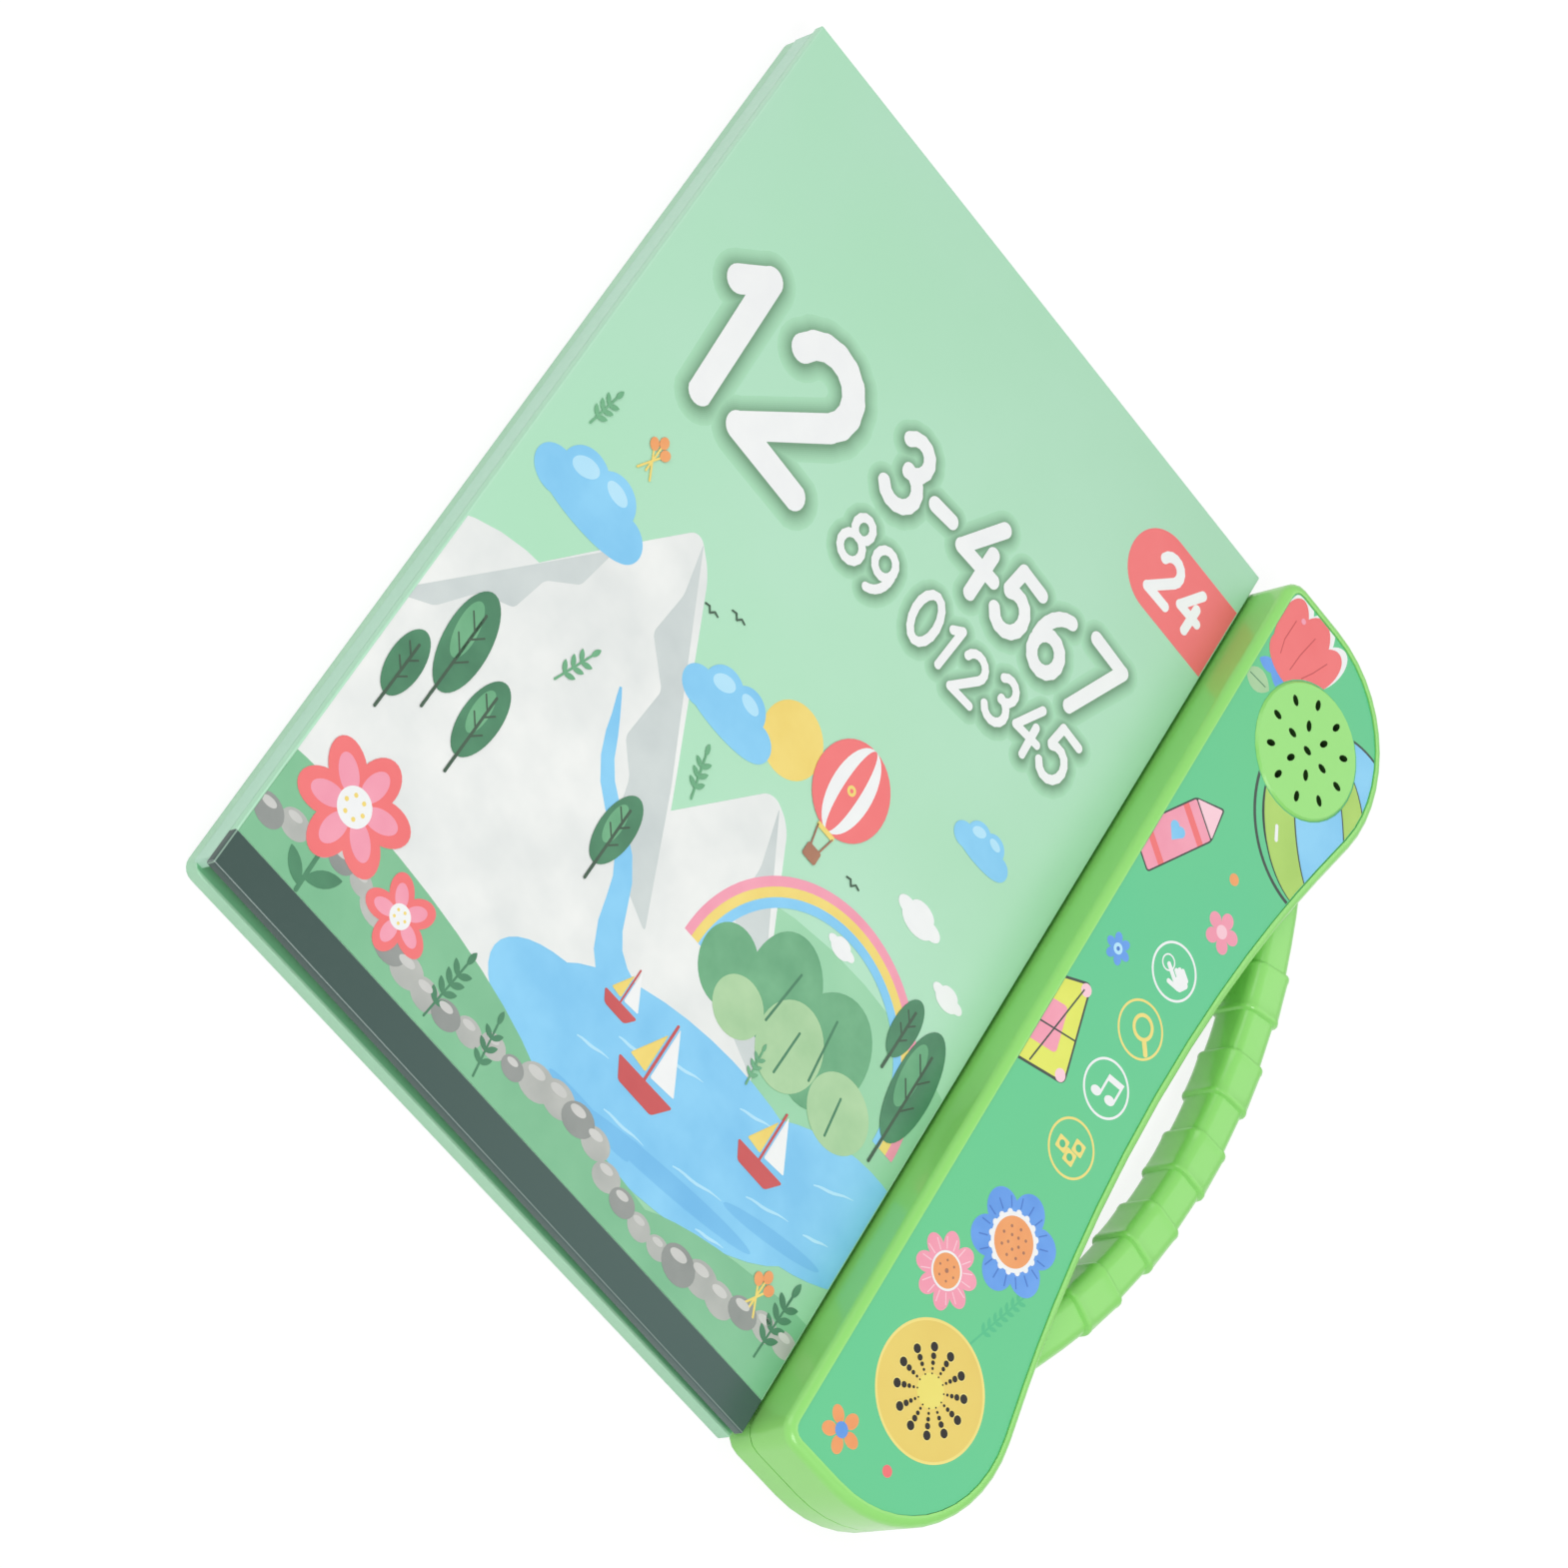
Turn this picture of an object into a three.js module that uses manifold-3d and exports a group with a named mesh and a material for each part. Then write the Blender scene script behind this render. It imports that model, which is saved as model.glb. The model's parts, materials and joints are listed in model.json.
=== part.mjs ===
import * as THREE from 'three';
import { mergeVertices } from 'three/addons/utils/BufferGeometryUtils.js';
import Module from 'manifold-3d';

const wasm = await Module();
wasm.setup();

// All lengths are in millimetres. X runs from the spine to the handle, Y from the
// bottom edge of the book to its top edge, Z up out of the front cover.

// Clearance left between pieces that touch or fit into each other.
const fit = 0.3;

// Case-bound book.
const coverHeight = 250;
const coverWidth = 164.2;
const spineTop = 10.95;
const foreEdgeTop = 8.35;
const boardThickness = 2.2;
const spineThickness = 2.2;
const spineEndInset = 1.5;
const backBoardThickness = 3.7;
const backBoardCorner = 3;
const pageMargin = 4;
const pageForeInset = 4;
const membraneThickness = 0.3;
const membraneMargin = 9;
const tailWidth = 12;
const tailBelowMiddle = 19;
const tailReach = 14.8;
const tailRise = 2.8;

// Sound bar, seen in plan.
const barGap = 1;
const barEndInset = 0.3;
const barWidth = 49.8;
const waistWidth = 39.2;
const bulgeRadius = 32;
const bulgeSweep = THREE.MathUtils.degToRad(12);
const bulgeLead = 13;
const waistLead = 45;
const cornerRadius = 5;

// Sound bar, seen in section.
const barHeight = 19;
const wall = 2;
const floorThickness = 2.4;
const shoulderRadius = 2;
const footRadius = 1;
const partingZ = 7;
const rimWidth = 2.4;
const panelDepth = 0.9;
const overlayThickness = 0.4;
const ceilingThickness = 2;

// Tongue of the back board, clamped between the two shells.
const tongueReach = 2.6;
const tongueThickness = 1.8;
const tongueLowMargin = 74;
const tongueHighMargin = 19.7;

// Speaker grille and speaker.
const grilleX = 25.9;
const grilleFromTop = 30.7;
const grilleRadius = 15.8;
const grilleRaise = 1.1;
const grilleEdge = 0.5;
const holeLength = 1.35;
const holeWidth = 0.8;
const holeRings = [[1, 0], [6, 5.7], [10, 11.4]];
const speakerRadius = 16;
const speakerFlange = 1.4;
const speakerDepth = 7.2;
const coneRadius = 14;
const coneBase = 4.2;
const coneDrop = 3.6;
const magnetRadius = 9.5;
const magnetHeight = 4;
const ringWall = 1.5;
const ringDepth = 4;

// Handle: an arc sweep with five raised bands, bowed out from two anchors in the bar's wall.
const fingerGap = 12.9;
const anchorSpan = 146;
const anchorDepth = 6.7;
const handleWidth = 9.8;
const handleHeight = 11.4;
const handleCorner = 2.6;
const handleMiddleZ = 9.9;
const bandWidth = 11.4;
const bandHeight = 13;
const bandCount = 5;
const bandPitch = 22.4;
const bandLength = 11.6;
const stubDepth = 1.6;
const flangeWidth = 12.4;

// Batteries and their bay.
const cellRadius = 5.25;
const cellLength = 44.5;
const nubRadius = 1.9;
const nubLength = 1.1;
const cellPitch = 10.8;
const bayX = 3.2;
const bayFromEnd = 13.7;
const baySlack = 6.5;
const bayWall = 1.2;
const contactThickness = 0.5;
const contactWidth = 8;
const contactHeight = 8;
const contactLift = 1.8;
const springWire = 0.35;
const springTurns = 3.5;
const springWide = 3.2;
const springNarrow = 2.2;

// Battery door.
const doorThickness = 1.1;
const doorLedge = 1;
const doorTail = 9.5;
const doorCupRadius = 4;
const doorCupHeight = 2.9;
const doorCorner = 3;
const doorHookWidth = 5;
const doorHookReach = 1.8;

// Screws.
const screwHead = 2.5;
const screwHeadHeight = 1.6;
const screwShank = 1.3;
const screwLength = 11;
const screwSink = 1;
const bossRadius = 3.2;
const footBossRadius = 4.2;
const cornerScrewX = 6.2;
const cornerScrewInset = 5.6;
const bulgeScrewX = 42.1;
const bulgeScrewInset = 30;
const waistScrewInset = 4.1;
const waistScrewMargin = 8.2;
const edgeScrewX = 6.9;
const topScrewInset = 13.7;
const outerScrewX = 38.2;
const doorScrewLength = 8;
const doorScrewSink = 0.5;
const doorHeadHeight = 1;

// Circuit boards and parts on them.
const mainBoard = { x: 10.6, width: 19.2, length: 86, z: 7.6, thickness: 1.6 };
const mainBoardMargin = 13;
const touchBoard = { x: 17, width: 17.2, length: 71, thickness: 1.4 };
const chip = { width: 9, length: 9, height: 1.2 };
const chipFromEnd = 26;
const capacitor = { radius: 2.5, height: 4.5 };
const capacitorFromEnd = 11;
const postRadius = 2;
const postInset = 3.2;

// Power switch in the top end wall.
const switchX = 15.9;
const switchZ = 11.6;
const knobWidth = 4;
const knobHeight = 3;
const knobTravel = 3;
const knobFlange = 1;
const knobPin = 2;
const scoopDepth = 1;
const scoopLength = 14;
const scoopHeight = 7;
const switchDepth = 5;
const switchHeight = 6;

// Values that follow from the ones above.
const barX = coverWidth + barGap;
const barY = barEndInset;
const barTop = coverHeight - barEndInset;
const middleY = coverHeight / 2;
const ceilingZ = barHeight - panelDepth - ceilingThickness;
const recessZ = barHeight - panelDepth;
const bayLength = cellLength + baySlack;
const bayWidth = 2 * cellPitch + 2 * cellRadius + 2 * fit;
const bayX0 = barX + bayX;
const bayX1 = bayX0 + bayWidth;
const bayY0 = barY + bayFromEnd;
const bayY1 = bayY0 + bayLength;
const doorX0 = bayX0 - doorLedge;
const doorX1 = bayX1 + doorLedge;
const doorY0 = bayY0 - doorLedge - 1.5;
const doorY1 = bayY1 + bayWall + doorTail;
const doorScrewX = (bayX0 + bayX1) / 2;
const doorScrewY = bayY1 + bayWall + doorTail / 2;
const tongueStart = barY + tongueLowMargin;
const tongueEnd = barTop - tongueHighMargin;
const tailY = middleY - tailBelowMiddle;
const grilleY = barTop - grilleFromTop;
const touchBoardY = middleY - touchBoard.length / 2;
const mainBoardY = doorY1 + mainBoardMargin;
const waistScrewRise = middleY - doorY1 - waistScrewMargin;
const shellScrews = [
  [cornerScrewX, barY + cornerScrewInset],
  [bulgeScrewX, barY + bulgeScrewInset],
  [waistWidth - waistScrewInset, middleY - waistScrewRise],
  [edgeScrewX, middleY],
  [waistWidth - waistScrewInset, middleY + waistScrewRise],
  [cornerScrewX, barTop - topScrewInset],
  [outerScrewX, barTop - topScrewInset],
];
const slope = (spineTop - foreEdgeTop) / coverWidth;

// Solids.

function solidOf(geometry) {
  const plain = geometry.clone();
  plain.deleteAttribute('normal');
  plain.deleteAttribute('uv');
  const merged = mergeVertices(plain, 1e-4);
  const mesh = new wasm.Mesh({
    numProp: 3,
    vertProperties: new Float32Array(merged.attributes.position.array),
    triVerts: new Uint32Array(merged.index.array),
  });
  return new wasm.Manifold(mesh);
}

function geometryOf(solid) {
  const mesh = solid.getMesh();
  const geometry = new THREE.BufferGeometry();
  geometry.setAttribute('position', new THREE.BufferAttribute(new Float32Array(mesh.vertProperties), 3));
  geometry.setIndex(new THREE.BufferAttribute(new Uint32Array(mesh.triVerts), 1));
  const loose = geometry.toNonIndexed();
  loose.computeVertexNormals();
  return loose;
}

function join(solids) {
  return solids.reduce((all, next) => all.add(next));
}

function block(x0, x1, y0, y1, z0, z1) {
  const geometry = new THREE.BoxGeometry(x1 - x0, y1 - y0, z1 - z0);
  geometry.translate((x0 + x1) / 2, (y0 + y1) / 2, (z0 + z1) / 2);
  return solidOf(geometry);
}

function post(x, y, radius, z0, z1, sides = 16) {
  const geometry = new THREE.CylinderGeometry(radius, radius, z1 - z0, sides);
  geometry.rotateX(Math.PI / 2);
  geometry.translate(x, y, (z0 + z1) / 2);
  return solidOf(geometry);
}

// A prism of a plan outline between two heights.
function slab(points, z0, z1) {
  const geometry = new THREE.ExtrudeGeometry(new THREE.Shape(points), { depth: z1 - z0, bevelEnabled: false });
  geometry.translate(0, 0, z0);
  return solidOf(geometry);
}

// A prism whose upper and lower rims are rounded.
function softSlab(points, z0, z1, radius, segments) {
  const geometry = new THREE.ExtrudeGeometry(new THREE.Shape(points), {
    depth: z1 - z0 - 2 * radius,
    bevelEnabled: true,
    bevelThickness: radius,
    bevelSize: radius,
    bevelOffset: -radius,
    bevelSegments: segments,
  });
  geometry.translate(0, 0, z0 + radius);
  return solidOf(geometry);
}

// A prism of an outline in the XZ plane, run along Y.
function runAlongY(points, y0, y1) {
  const geometry = new THREE.ExtrudeGeometry(new THREE.Shape(points), { depth: y1 - y0, bevelEnabled: false });
  geometry.rotateX(Math.PI / 2);
  geometry.translate(0, y1, 0);
  return solidOf(geometry);
}

// A turned solid on a vertical axis; the profile runs from the axis round to the axis.
function turned(x, y, profile, sides = 32) {
  const geometry = new THREE.LatheGeometry(profile.map(([r, z]) => new THREE.Vector2(r, z)), sides);
  geometry.rotateX(Math.PI / 2);
  geometry.translate(x, y, 0);
  return solidOf(geometry);
}

function arcPoints(x, y, radius, from, to, steps) {
  const points = [];
  for (let i = 0; i <= steps; i += 1) {
    const angle = from + ((to - from) * i) / steps;
    points.push(new THREE.Vector2(x + radius * Math.cos(angle), y + radius * Math.sin(angle)));
  }
  return points;
}

function roundedBox(x0, x1, y0, y1, radius, steps = 4) {
  const quarter = Math.PI / 2;
  return [
    ...arcPoints(x1 - radius, y0 + radius, radius, -quarter, 0, steps),
    ...arcPoints(x1 - radius, y1 - radius, radius, 0, quarter, steps),
    ...arcPoints(x0 + radius, y1 - radius, radius, quarter, 2 * quarter, steps),
    ...arcPoints(x0 + radius, y0 + radius, radius, 2 * quarter, 3 * quarter, steps),
  ];
}

// Sound bar outline: straight inner side, a round bulge at each end, a waist between.
function barOutline() {
  const bulgeX = barX + barWidth - bulgeRadius;
  const lowY = barY + bulgeRadius;
  const flank = new THREE.Vector2(-Math.sin(bulgeSweep), Math.cos(bulgeSweep));
  const start = new THREE.Vector2(
    bulgeX + bulgeRadius * Math.cos(bulgeSweep),
    lowY + bulgeRadius * Math.sin(bulgeSweep),
  );
  const waist = new THREE.CubicBezierCurve(
    start,
    start.clone().addScaledVector(flank, bulgeLead),
    new THREE.Vector2(barX + waistWidth, middleY - waistLead),
    new THREE.Vector2(barX + waistWidth, middleY),
  );
  const lower = [
    ...arcPoints(barX + cornerRadius, barY + cornerRadius, cornerRadius, Math.PI, 1.5 * Math.PI, 4),
    ...arcPoints(bulgeX, lowY, bulgeRadius, -Math.PI / 2, bulgeSweep, 13),
    ...waist.getPoints(8).slice(1),
  ];
  const upper = lower.slice(0, -1).reverse().map((p) => new THREE.Vector2(p.x, coverHeight - p.y));
  return [...lower, ...upper];
}

// The same outline moved inwards by a set distance.
function insetOutline(points, distance) {
  return points.map((point, i) => {
    const before = points[(i + points.length - 1) % points.length];
    const after = points[(i + 1) % points.length];
    const along = after.clone().sub(point).normalize().add(point.clone().sub(before).normalize()).normalize();
    return new THREE.Vector2(point.x - along.y * distance, point.y + along.x * distance);
  });
}

// The handle's arc runs through both anchors and the outermost point.
const handleMiddleX = barX + waistWidth + fingerGap + bandWidth / 2;
const handleReach = handleMiddleX + bandWidth / 2;

function wallX(y) {
  const points = barOutline();
  const index = points.findIndex((p, i) => i > 6 && p.y <= y && points[i + 1].y >= y);
  const share = (y - points[index].y) / (points[index + 1].y - points[index].y);
  return points[index].x + share * (points[index + 1].x - points[index].x);
}

const anchorX = wallX(middleY - anchorSpan / 2) - anchorDepth;
const bow = handleMiddleX - anchorX;
const handleRadius = (bow * bow + (anchorSpan * anchorSpan) / 4) / (2 * bow);
const handleCentreX = handleMiddleX - handleRadius;
const anchorAngle = Math.asin(anchorSpan / 2 / handleRadius);

// Sweep of a rounded section along the handle's arc, from one angle to another.
function handleSweep(width, height, corner, fromAngle, toAngle, steps) {
  class Arc extends THREE.Curve {
    getPoint(t, target = new THREE.Vector3()) {
      const angle = fromAngle + (toAngle - fromAngle) * t;
      const x = handleCentreX + handleRadius * Math.cos(angle);
      const y = middleY + handleRadius * Math.sin(angle);
      return target.set(x, y, handleMiddleZ);
    }
  }
  const section = new THREE.Shape(roundedBox(-height / 2, height / 2, -width / 2, width / 2, corner, 2));
  const geometry = new THREE.ExtrudeGeometry(section, { steps, extrudePath: new Arc(), bevelEnabled: false });
  return solidOf(geometry);
}

// The book.

const frontBoard = runAlongY(
  [
    new THREE.Vector2(0, spineTop - boardThickness),
    new THREE.Vector2(coverWidth, foreEdgeTop - boardThickness),
    new THREE.Vector2(coverWidth, foreEdgeTop),
    new THREE.Vector2(0, spineTop),
  ],
  0,
  coverHeight,
);

const spineBoard = block(
  0,
  spineThickness,
  spineEndInset,
  coverHeight - spineEndInset,
  backBoardThickness + fit,
  spineTop - boardThickness - slope * spineThickness - fit,
);

function backBoardOutline() {
  const right = barX - fit;
  const quarter = Math.PI / 2;
  return [
    new THREE.Vector2(right, 0),
    new THREE.Vector2(right, coverHeight),
    ...arcPoints(backBoardCorner, coverHeight - backBoardCorner, backBoardCorner, quarter, 2 * quarter, 5),
    ...arcPoints(backBoardCorner, backBoardCorner, backBoardCorner, 2 * quarter, 3 * quarter, 5),
  ];
}

const tongueBase = backBoardThickness - tongueThickness;
const backBoard = slab(backBoardOutline(), 0, backBoardThickness).add(
  block(barX - 1, barX - fit + tongueReach, tongueStart, tongueEnd, tongueBase, backBoardThickness),
);

const membraneZ = backBoardThickness + fit;
const pageZ = membraneZ + membraneThickness + fit;
const pageSpineX = spineThickness + fit;
const pageForeX = coverWidth - pageForeInset;
const underCover = (x) => spineTop - boardThickness - slope * x - fit;
const pageBlock = runAlongY(
  [
    new THREE.Vector2(pageSpineX, pageZ),
    new THREE.Vector2(pageForeX, pageZ),
    new THREE.Vector2(pageForeX, underCover(pageForeX)),
    new THREE.Vector2(pageSpineX, underCover(pageSpineX)),
  ],
  pageMargin,
  coverHeight - pageMargin,
);

// The membrane lies under the pages; its tail runs into the sound bar and turns up.
const tailX = pageForeX + tailReach;
const membrane = block(
  membraneMargin,
  pageForeX,
  membraneMargin,
  coverHeight - membraneMargin,
  membraneZ,
  membraneZ + membraneThickness,
).add(
  runAlongY(
    [
      new THREE.Vector2(pageForeX - 1, membraneZ),
      new THREE.Vector2(tailX, membraneZ),
      new THREE.Vector2(tailX, membraneZ + tailRise),
      new THREE.Vector2(tailX - membraneThickness, membraneZ + tailRise),
      new THREE.Vector2(tailX - membraneThickness, membraneZ + membraneThickness),
      new THREE.Vector2(pageForeX - 1, membraneZ + membraneThickness),
    ],
    tailY - tailWidth / 2,
    tailY + tailWidth / 2,
  ),
);

// The handle: base sweep, raised bands with a slight lip, and a flange inside each wall.

const outline = barOutline();
const wideAngle = anchorAngle * 1.25;
const insideWall = slab(insetOutline(outline, wall + fit), 0, barHeight);
const stubEnd = slab(insetOutline(outline, wall + fit + stubDepth), -1, barHeight + 1);

function handleSolid() {
  const base = handleSweep(handleWidth, handleHeight, handleCorner, -wideAngle, wideAngle, 26);
  const bands = [];
  for (let i = 0; i < bandCount; i += 1) {
    const middle = ((i - (bandCount - 1) / 2) * bandPitch) / handleRadius;
    const half = bandLength / 2 / handleRadius;
    bands.push(handleSweep(bandWidth, bandHeight, handleCorner, middle - half, middle + half, 3));
  }
  const flange = handleSweep(flangeWidth, handleHeight, handleCorner, -wideAngle, wideAngle, 26);
  return join([base, ...bands, flange.intersect(insideWall)]).subtract(stubEnd);
}

const handle = handleSolid();
const socket = handleSweep(
  handleWidth + 2 * fit,
  handleHeight + 2 * fit,
  handleCorner + fit,
  -wideAngle,
  wideAngle,
  26,
);

// Bottom shell.

const seatZ = screwSink + screwHeadHeight + fit;
const lowerRim = partingZ - fit / 2;
const upperRim = partingZ + fit / 2;
const boardPosts = [];
for (const x of [mainBoard.x + postInset, mainBoard.x + mainBoard.width - postInset]) {
  for (const y of [mainBoardY + postInset, mainBoardY + mainBoard.length - postInset]) {
    boardPosts.push([barX + x, y]);
  }
}

function bottomShell() {
  let shell = softSlab(outline, 0, barHeight, footRadius, 2);
  shell = shell.subtract(slab(insetOutline(outline, wall), floorThickness, barHeight + 1));
  shell = shell.subtract(block(barX - 5, barX + barWidth + 5, barY - 5, barTop + 5, lowerRim, barHeight + 5));
  const trayOuter = block(bayX0 - bayWall, bayX1 + bayWall, bayY0 - bayWall, bayY1 + bayWall, 1, lowerRim);
  shell = shell.add(trayOuter);
  for (const [x, y] of shellScrews) {
    shell = shell.add(post(barX + x, y, footBossRadius, 1, lowerRim));
  }
  const wellTop = doorCupHeight + fit;
  shell = shell.add(post(doorScrewX, doorScrewY, doorCupRadius + fit + 1, 1, wellTop + 1));
  shell = shell.add(post(doorScrewX, doorScrewY, bossRadius, 1, doorScrewSink + doorScrewLength + 1));
  for (const [x, y] of boardPosts) {
    shell = shell.add(post(x, y, postRadius, 1, mainBoard.z - fit));
  }
  for (const [x, y] of shellScrews) {
    shell = shell.subtract(post(barX + x, y, screwHead + fit, -1, seatZ));
    shell = shell.subtract(post(barX + x, y, screwShank + fit, 0, partingZ + 1));
  }
  shell = shell.subtract(block(bayX0, bayX1, bayY0, bayY1, -1, partingZ + 1));
  const doorPlan = roundedBox(doorX0 - fit, doorX1 + fit, doorY0 - fit, doorY1 + fit, doorCorner);
  shell = shell.subtract(slab(doorPlan, -1, doorThickness + fit));
  shell = shell.subtract(post(doorScrewX, doorScrewY, doorCupRadius + fit, -1, wellTop));
  shell = shell.subtract(post(doorScrewX, doorScrewY, screwShank + fit, -1, doorScrewSink + doorScrewLength + fit));
  const hookX = (bayX0 + bayX1) / 2;
  for (const side of [-1, 1]) {
    const x = hookX + side * cellPitch;
    const half = doorHookWidth / 2 + fit;
    const reach = doorHookReach + fit;
    shell = shell.subtract(block(x - half, x + half, bayY0 - reach, bayY0 + 1, floorThickness, floorThickness + 2));
  }
  shell = shell.subtract(
    block(barX - 1, barX - fit + tongueReach + fit, tongueStart - fit, tongueEnd + fit, tongueBase - fit, partingZ + 1),
  );
  return shell.subtract(socket);
}

// Top shell: rounded shoulder, recessed panel, raised grille, bosses, speaker ring.

const grilleCentreX = barX + grilleX;

function grilleHoles() {
  const holes = [];
  for (const [count, ring] of holeRings) {
    for (let i = 0; i < count; i += 1) {
      const angle = (i * 2 * Math.PI) / count;
      const geometry = new THREE.CylinderGeometry(holeWidth, holeWidth, panelDepth + ceilingThickness + 4, 10);
      geometry.rotateX(Math.PI / 2);
      geometry.scale(holeLength / holeWidth, 1, 1);
      geometry.translate(ring, 0, ceilingZ + 2);
      geometry.rotateZ(angle);
      geometry.translate(grilleCentreX, grilleY, 0);
      holes.push(solidOf(geometry));
    }
  }
  return join(holes);
}

const knobCentreX = barX + switchX;
const blockDepth = 2;
const wallInnerY = barTop - wall - blockDepth;

function topShell() {
  let shell = softSlab(outline, 0, barHeight, shoulderRadius, 3);
  shell = shell.subtract(slab(insetOutline(outline, wall), -1, ceilingZ));
  shell = shell.subtract(block(barX - 5, barX + barWidth + 5, barY - 5, barTop + 5, -5, upperRim));
  const skirt = block(barX, barX + wall, tongueStart, tongueEnd, backBoardThickness + fit, upperRim + 1);
  const tailSlot = block(
    barX - 1,
    barX + wall + 1,
    tailY - tailWidth / 2 - fit,
    tailY + tailWidth / 2 + fit,
    backBoardThickness,
    membraneZ + membraneThickness + fit,
  );
  shell = shell.add(skirt).subtract(tailSlot);
  shell = shell.subtract(slab(insetOutline(outline, rimWidth), recessZ, barHeight + 1));
  for (const [x, y] of shellScrews) {
    shell = shell.add(post(barX + x, y, bossRadius, upperRim, ceilingZ + 1));
  }
  const ringOuter = post(grilleCentreX, grilleY, speakerRadius + fit + ringWall, ceilingZ - ringDepth, ceilingZ + 1, 28);
  const ringInner = post(grilleCentreX, grilleY, speakerRadius + fit, ceilingZ - ringDepth - 1, ceilingZ, 28);
  shell = shell.add(ringOuter.subtract(ringInner));
  const grilleTop = recessZ + grilleRaise;
  shell = shell.add(
    turned(grilleCentreX, grilleY, [
      [0, ceilingZ],
      [grilleRadius, ceilingZ],
      [grilleRadius, grilleTop - grilleEdge],
      [grilleRadius - grilleEdge, grilleTop],
      [0, grilleTop],
    ], 36),
  );
  const pocket = block(
    knobCentreX - scoopLength / 2 - 1,
    knobCentreX + scoopLength / 2 + 1,
    wallInnerY,
    barTop - wall + 0.5,
    upperRim,
    ceilingZ + 1,
  );
  shell = shell.add(pocket);
  for (const [x, y] of shellScrews) {
    shell = shell.subtract(post(barX + x, y, screwShank + fit, 0, seatZ - fit + screwLength + fit));
  }
  shell = shell.subtract(grilleHoles());
  shell = shell.subtract(
    block(
      knobCentreX - scoopLength / 2,
      knobCentreX + scoopLength / 2,
      barTop - scoopDepth,
      barTop + 2,
      switchZ - scoopHeight / 2,
      switchZ + scoopHeight / 2,
    ),
  );
  shell = shell.subtract(
    block(
      knobCentreX - (knobWidth + knobTravel) / 2 - fit,
      knobCentreX + (knobWidth + knobTravel) / 2 + fit,
      wallInnerY - 1,
      barTop + 2,
      switchZ - knobHeight / 2 - fit,
      switchZ + knobHeight / 2 + fit,
    ),
  );
  return shell.subtract(socket);
}

// Printed panel overlay with a round window for the grille.

const overlay = slab(insetOutline(outline, rimWidth + fit), recessZ + fit / 2, recessZ + fit / 2 + overlayThickness)
  .subtract(post(grilleCentreX, grilleY, grilleRadius + fit, 0, barHeight + 2, 36));

// Speaker.

const flangeTop = ceilingZ - fit;
const flangeBase = flangeTop - speakerFlange;
const frameBase = flangeTop - speakerDepth;
const frameWall = 1;
const speakerFrame = turned(grilleCentreX, grilleY, [
  [0, frameBase],
  [magnetRadius, frameBase],
  [coneRadius + frameWall, flangeBase],
  [speakerRadius, flangeBase],
  [speakerRadius, flangeTop],
  [coneRadius + fit, flangeTop],
  [coneRadius + fit, flangeBase + frameWall / 2],
  [magnetRadius - 0.6, frameBase + frameWall],
  [0, frameBase + frameWall],
], 32);
const coneTop = flangeTop - 0.2;
const speakerCone = turned(grilleCentreX, grilleY, [
  [0, coneTop - coneDrop],
  [coneBase, coneTop - coneDrop],
  [coneRadius - 1, coneTop - 0.5],
  [coneRadius, coneTop - 0.5],
  [coneRadius, coneTop],
  [coneRadius - 1.2, coneTop],
  [coneBase + 0.3, coneTop - coneDrop + 0.6],
  [coneBase * 0.7, coneTop - coneDrop + 1.5],
  [0, coneTop - coneDrop + 2],
], 32);
const speakerMagnet = post(grilleCentreX, grilleY, magnetRadius, frameBase - fit - magnetHeight, frameBase - fit, 32);

// Circuit boards.

function boardSolid(board, y, z) {
  const x0 = barX + board.x;
  return block(x0, x0 + board.width, y, y + board.length, z, z + board.thickness);
}

const mainBoardSolid = boardSolid(mainBoard, mainBoardY, mainBoard.z);
const touchBoardSolid = boardSolid(touchBoard, touchBoardY, ceilingZ - fit - touchBoard.thickness);
const chipZ = mainBoard.z + mainBoard.thickness + fit;
const chipX = barX + mainBoard.x + mainBoard.width / 2;
const chipY = mainBoardY + mainBoard.length - chipFromEnd;
const capacitorY = mainBoardY + mainBoard.length - capacitorFromEnd;
const chipSolid = block(
  chipX - chip.width / 2,
  chipX + chip.width / 2,
  chipY - chip.length / 2,
  chipY + chip.length / 2,
  chipZ,
  chipZ + chip.height,
);
const capacitorSolid = post(chipX, capacitorY, capacitor.radius, chipZ, chipZ + capacitor.height, 20);

// Power switch: the knob rests at one end of its slot.

const knobX = knobCentreX - knobTravel / 2;
const flangeY = wallInnerY - fit - knobFlange;
const knobFlangeWidth = knobWidth + 2 * knobTravel + 1;
const switchKnob = join([
  block(
    knobX - knobWidth / 2,
    knobX + knobWidth / 2,
    flangeY + 0.2,
    barTop + 0.1,
    switchZ - knobHeight / 2,
    switchZ + knobHeight / 2,
  ),
  block(
    knobX - knobFlangeWidth / 2,
    knobX + knobFlangeWidth / 2,
    flangeY,
    flangeY + knobFlange,
    switchZ - knobHeight / 2 - 1,
    switchZ + knobHeight / 2 + 1,
  ),
  block(
    knobX - knobPin / 2,
    knobX + knobPin / 2,
    flangeY - 2,
    flangeY + 0.2,
    switchZ - knobPin / 2,
    switchZ + knobPin / 2,
  ),
]);
const bodyHalf = (knobFlangeWidth + knobTravel) / 2 - 1;
const switchBody = block(
  knobCentreX - bodyHalf,
  knobCentreX + bodyHalf,
  flangeY - fit - switchDepth,
  flangeY - fit,
  switchZ - switchHeight / 2,
  switchZ + switchHeight / 2,
).subtract(
  block(
    knobCentreX - (knobPin + knobTravel) / 2 - fit,
    knobCentreX + (knobPin + knobTravel) / 2 + fit,
    flangeY - 2 - fit,
    flangeY,
    switchZ - knobPin / 2 - fit,
    switchZ + knobPin / 2 + fit,
  ),
);

// Cells and contacts, lying along Y and turned end for end one after another.

const cellZ = floorThickness + 0.5 + cellRadius;

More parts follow.
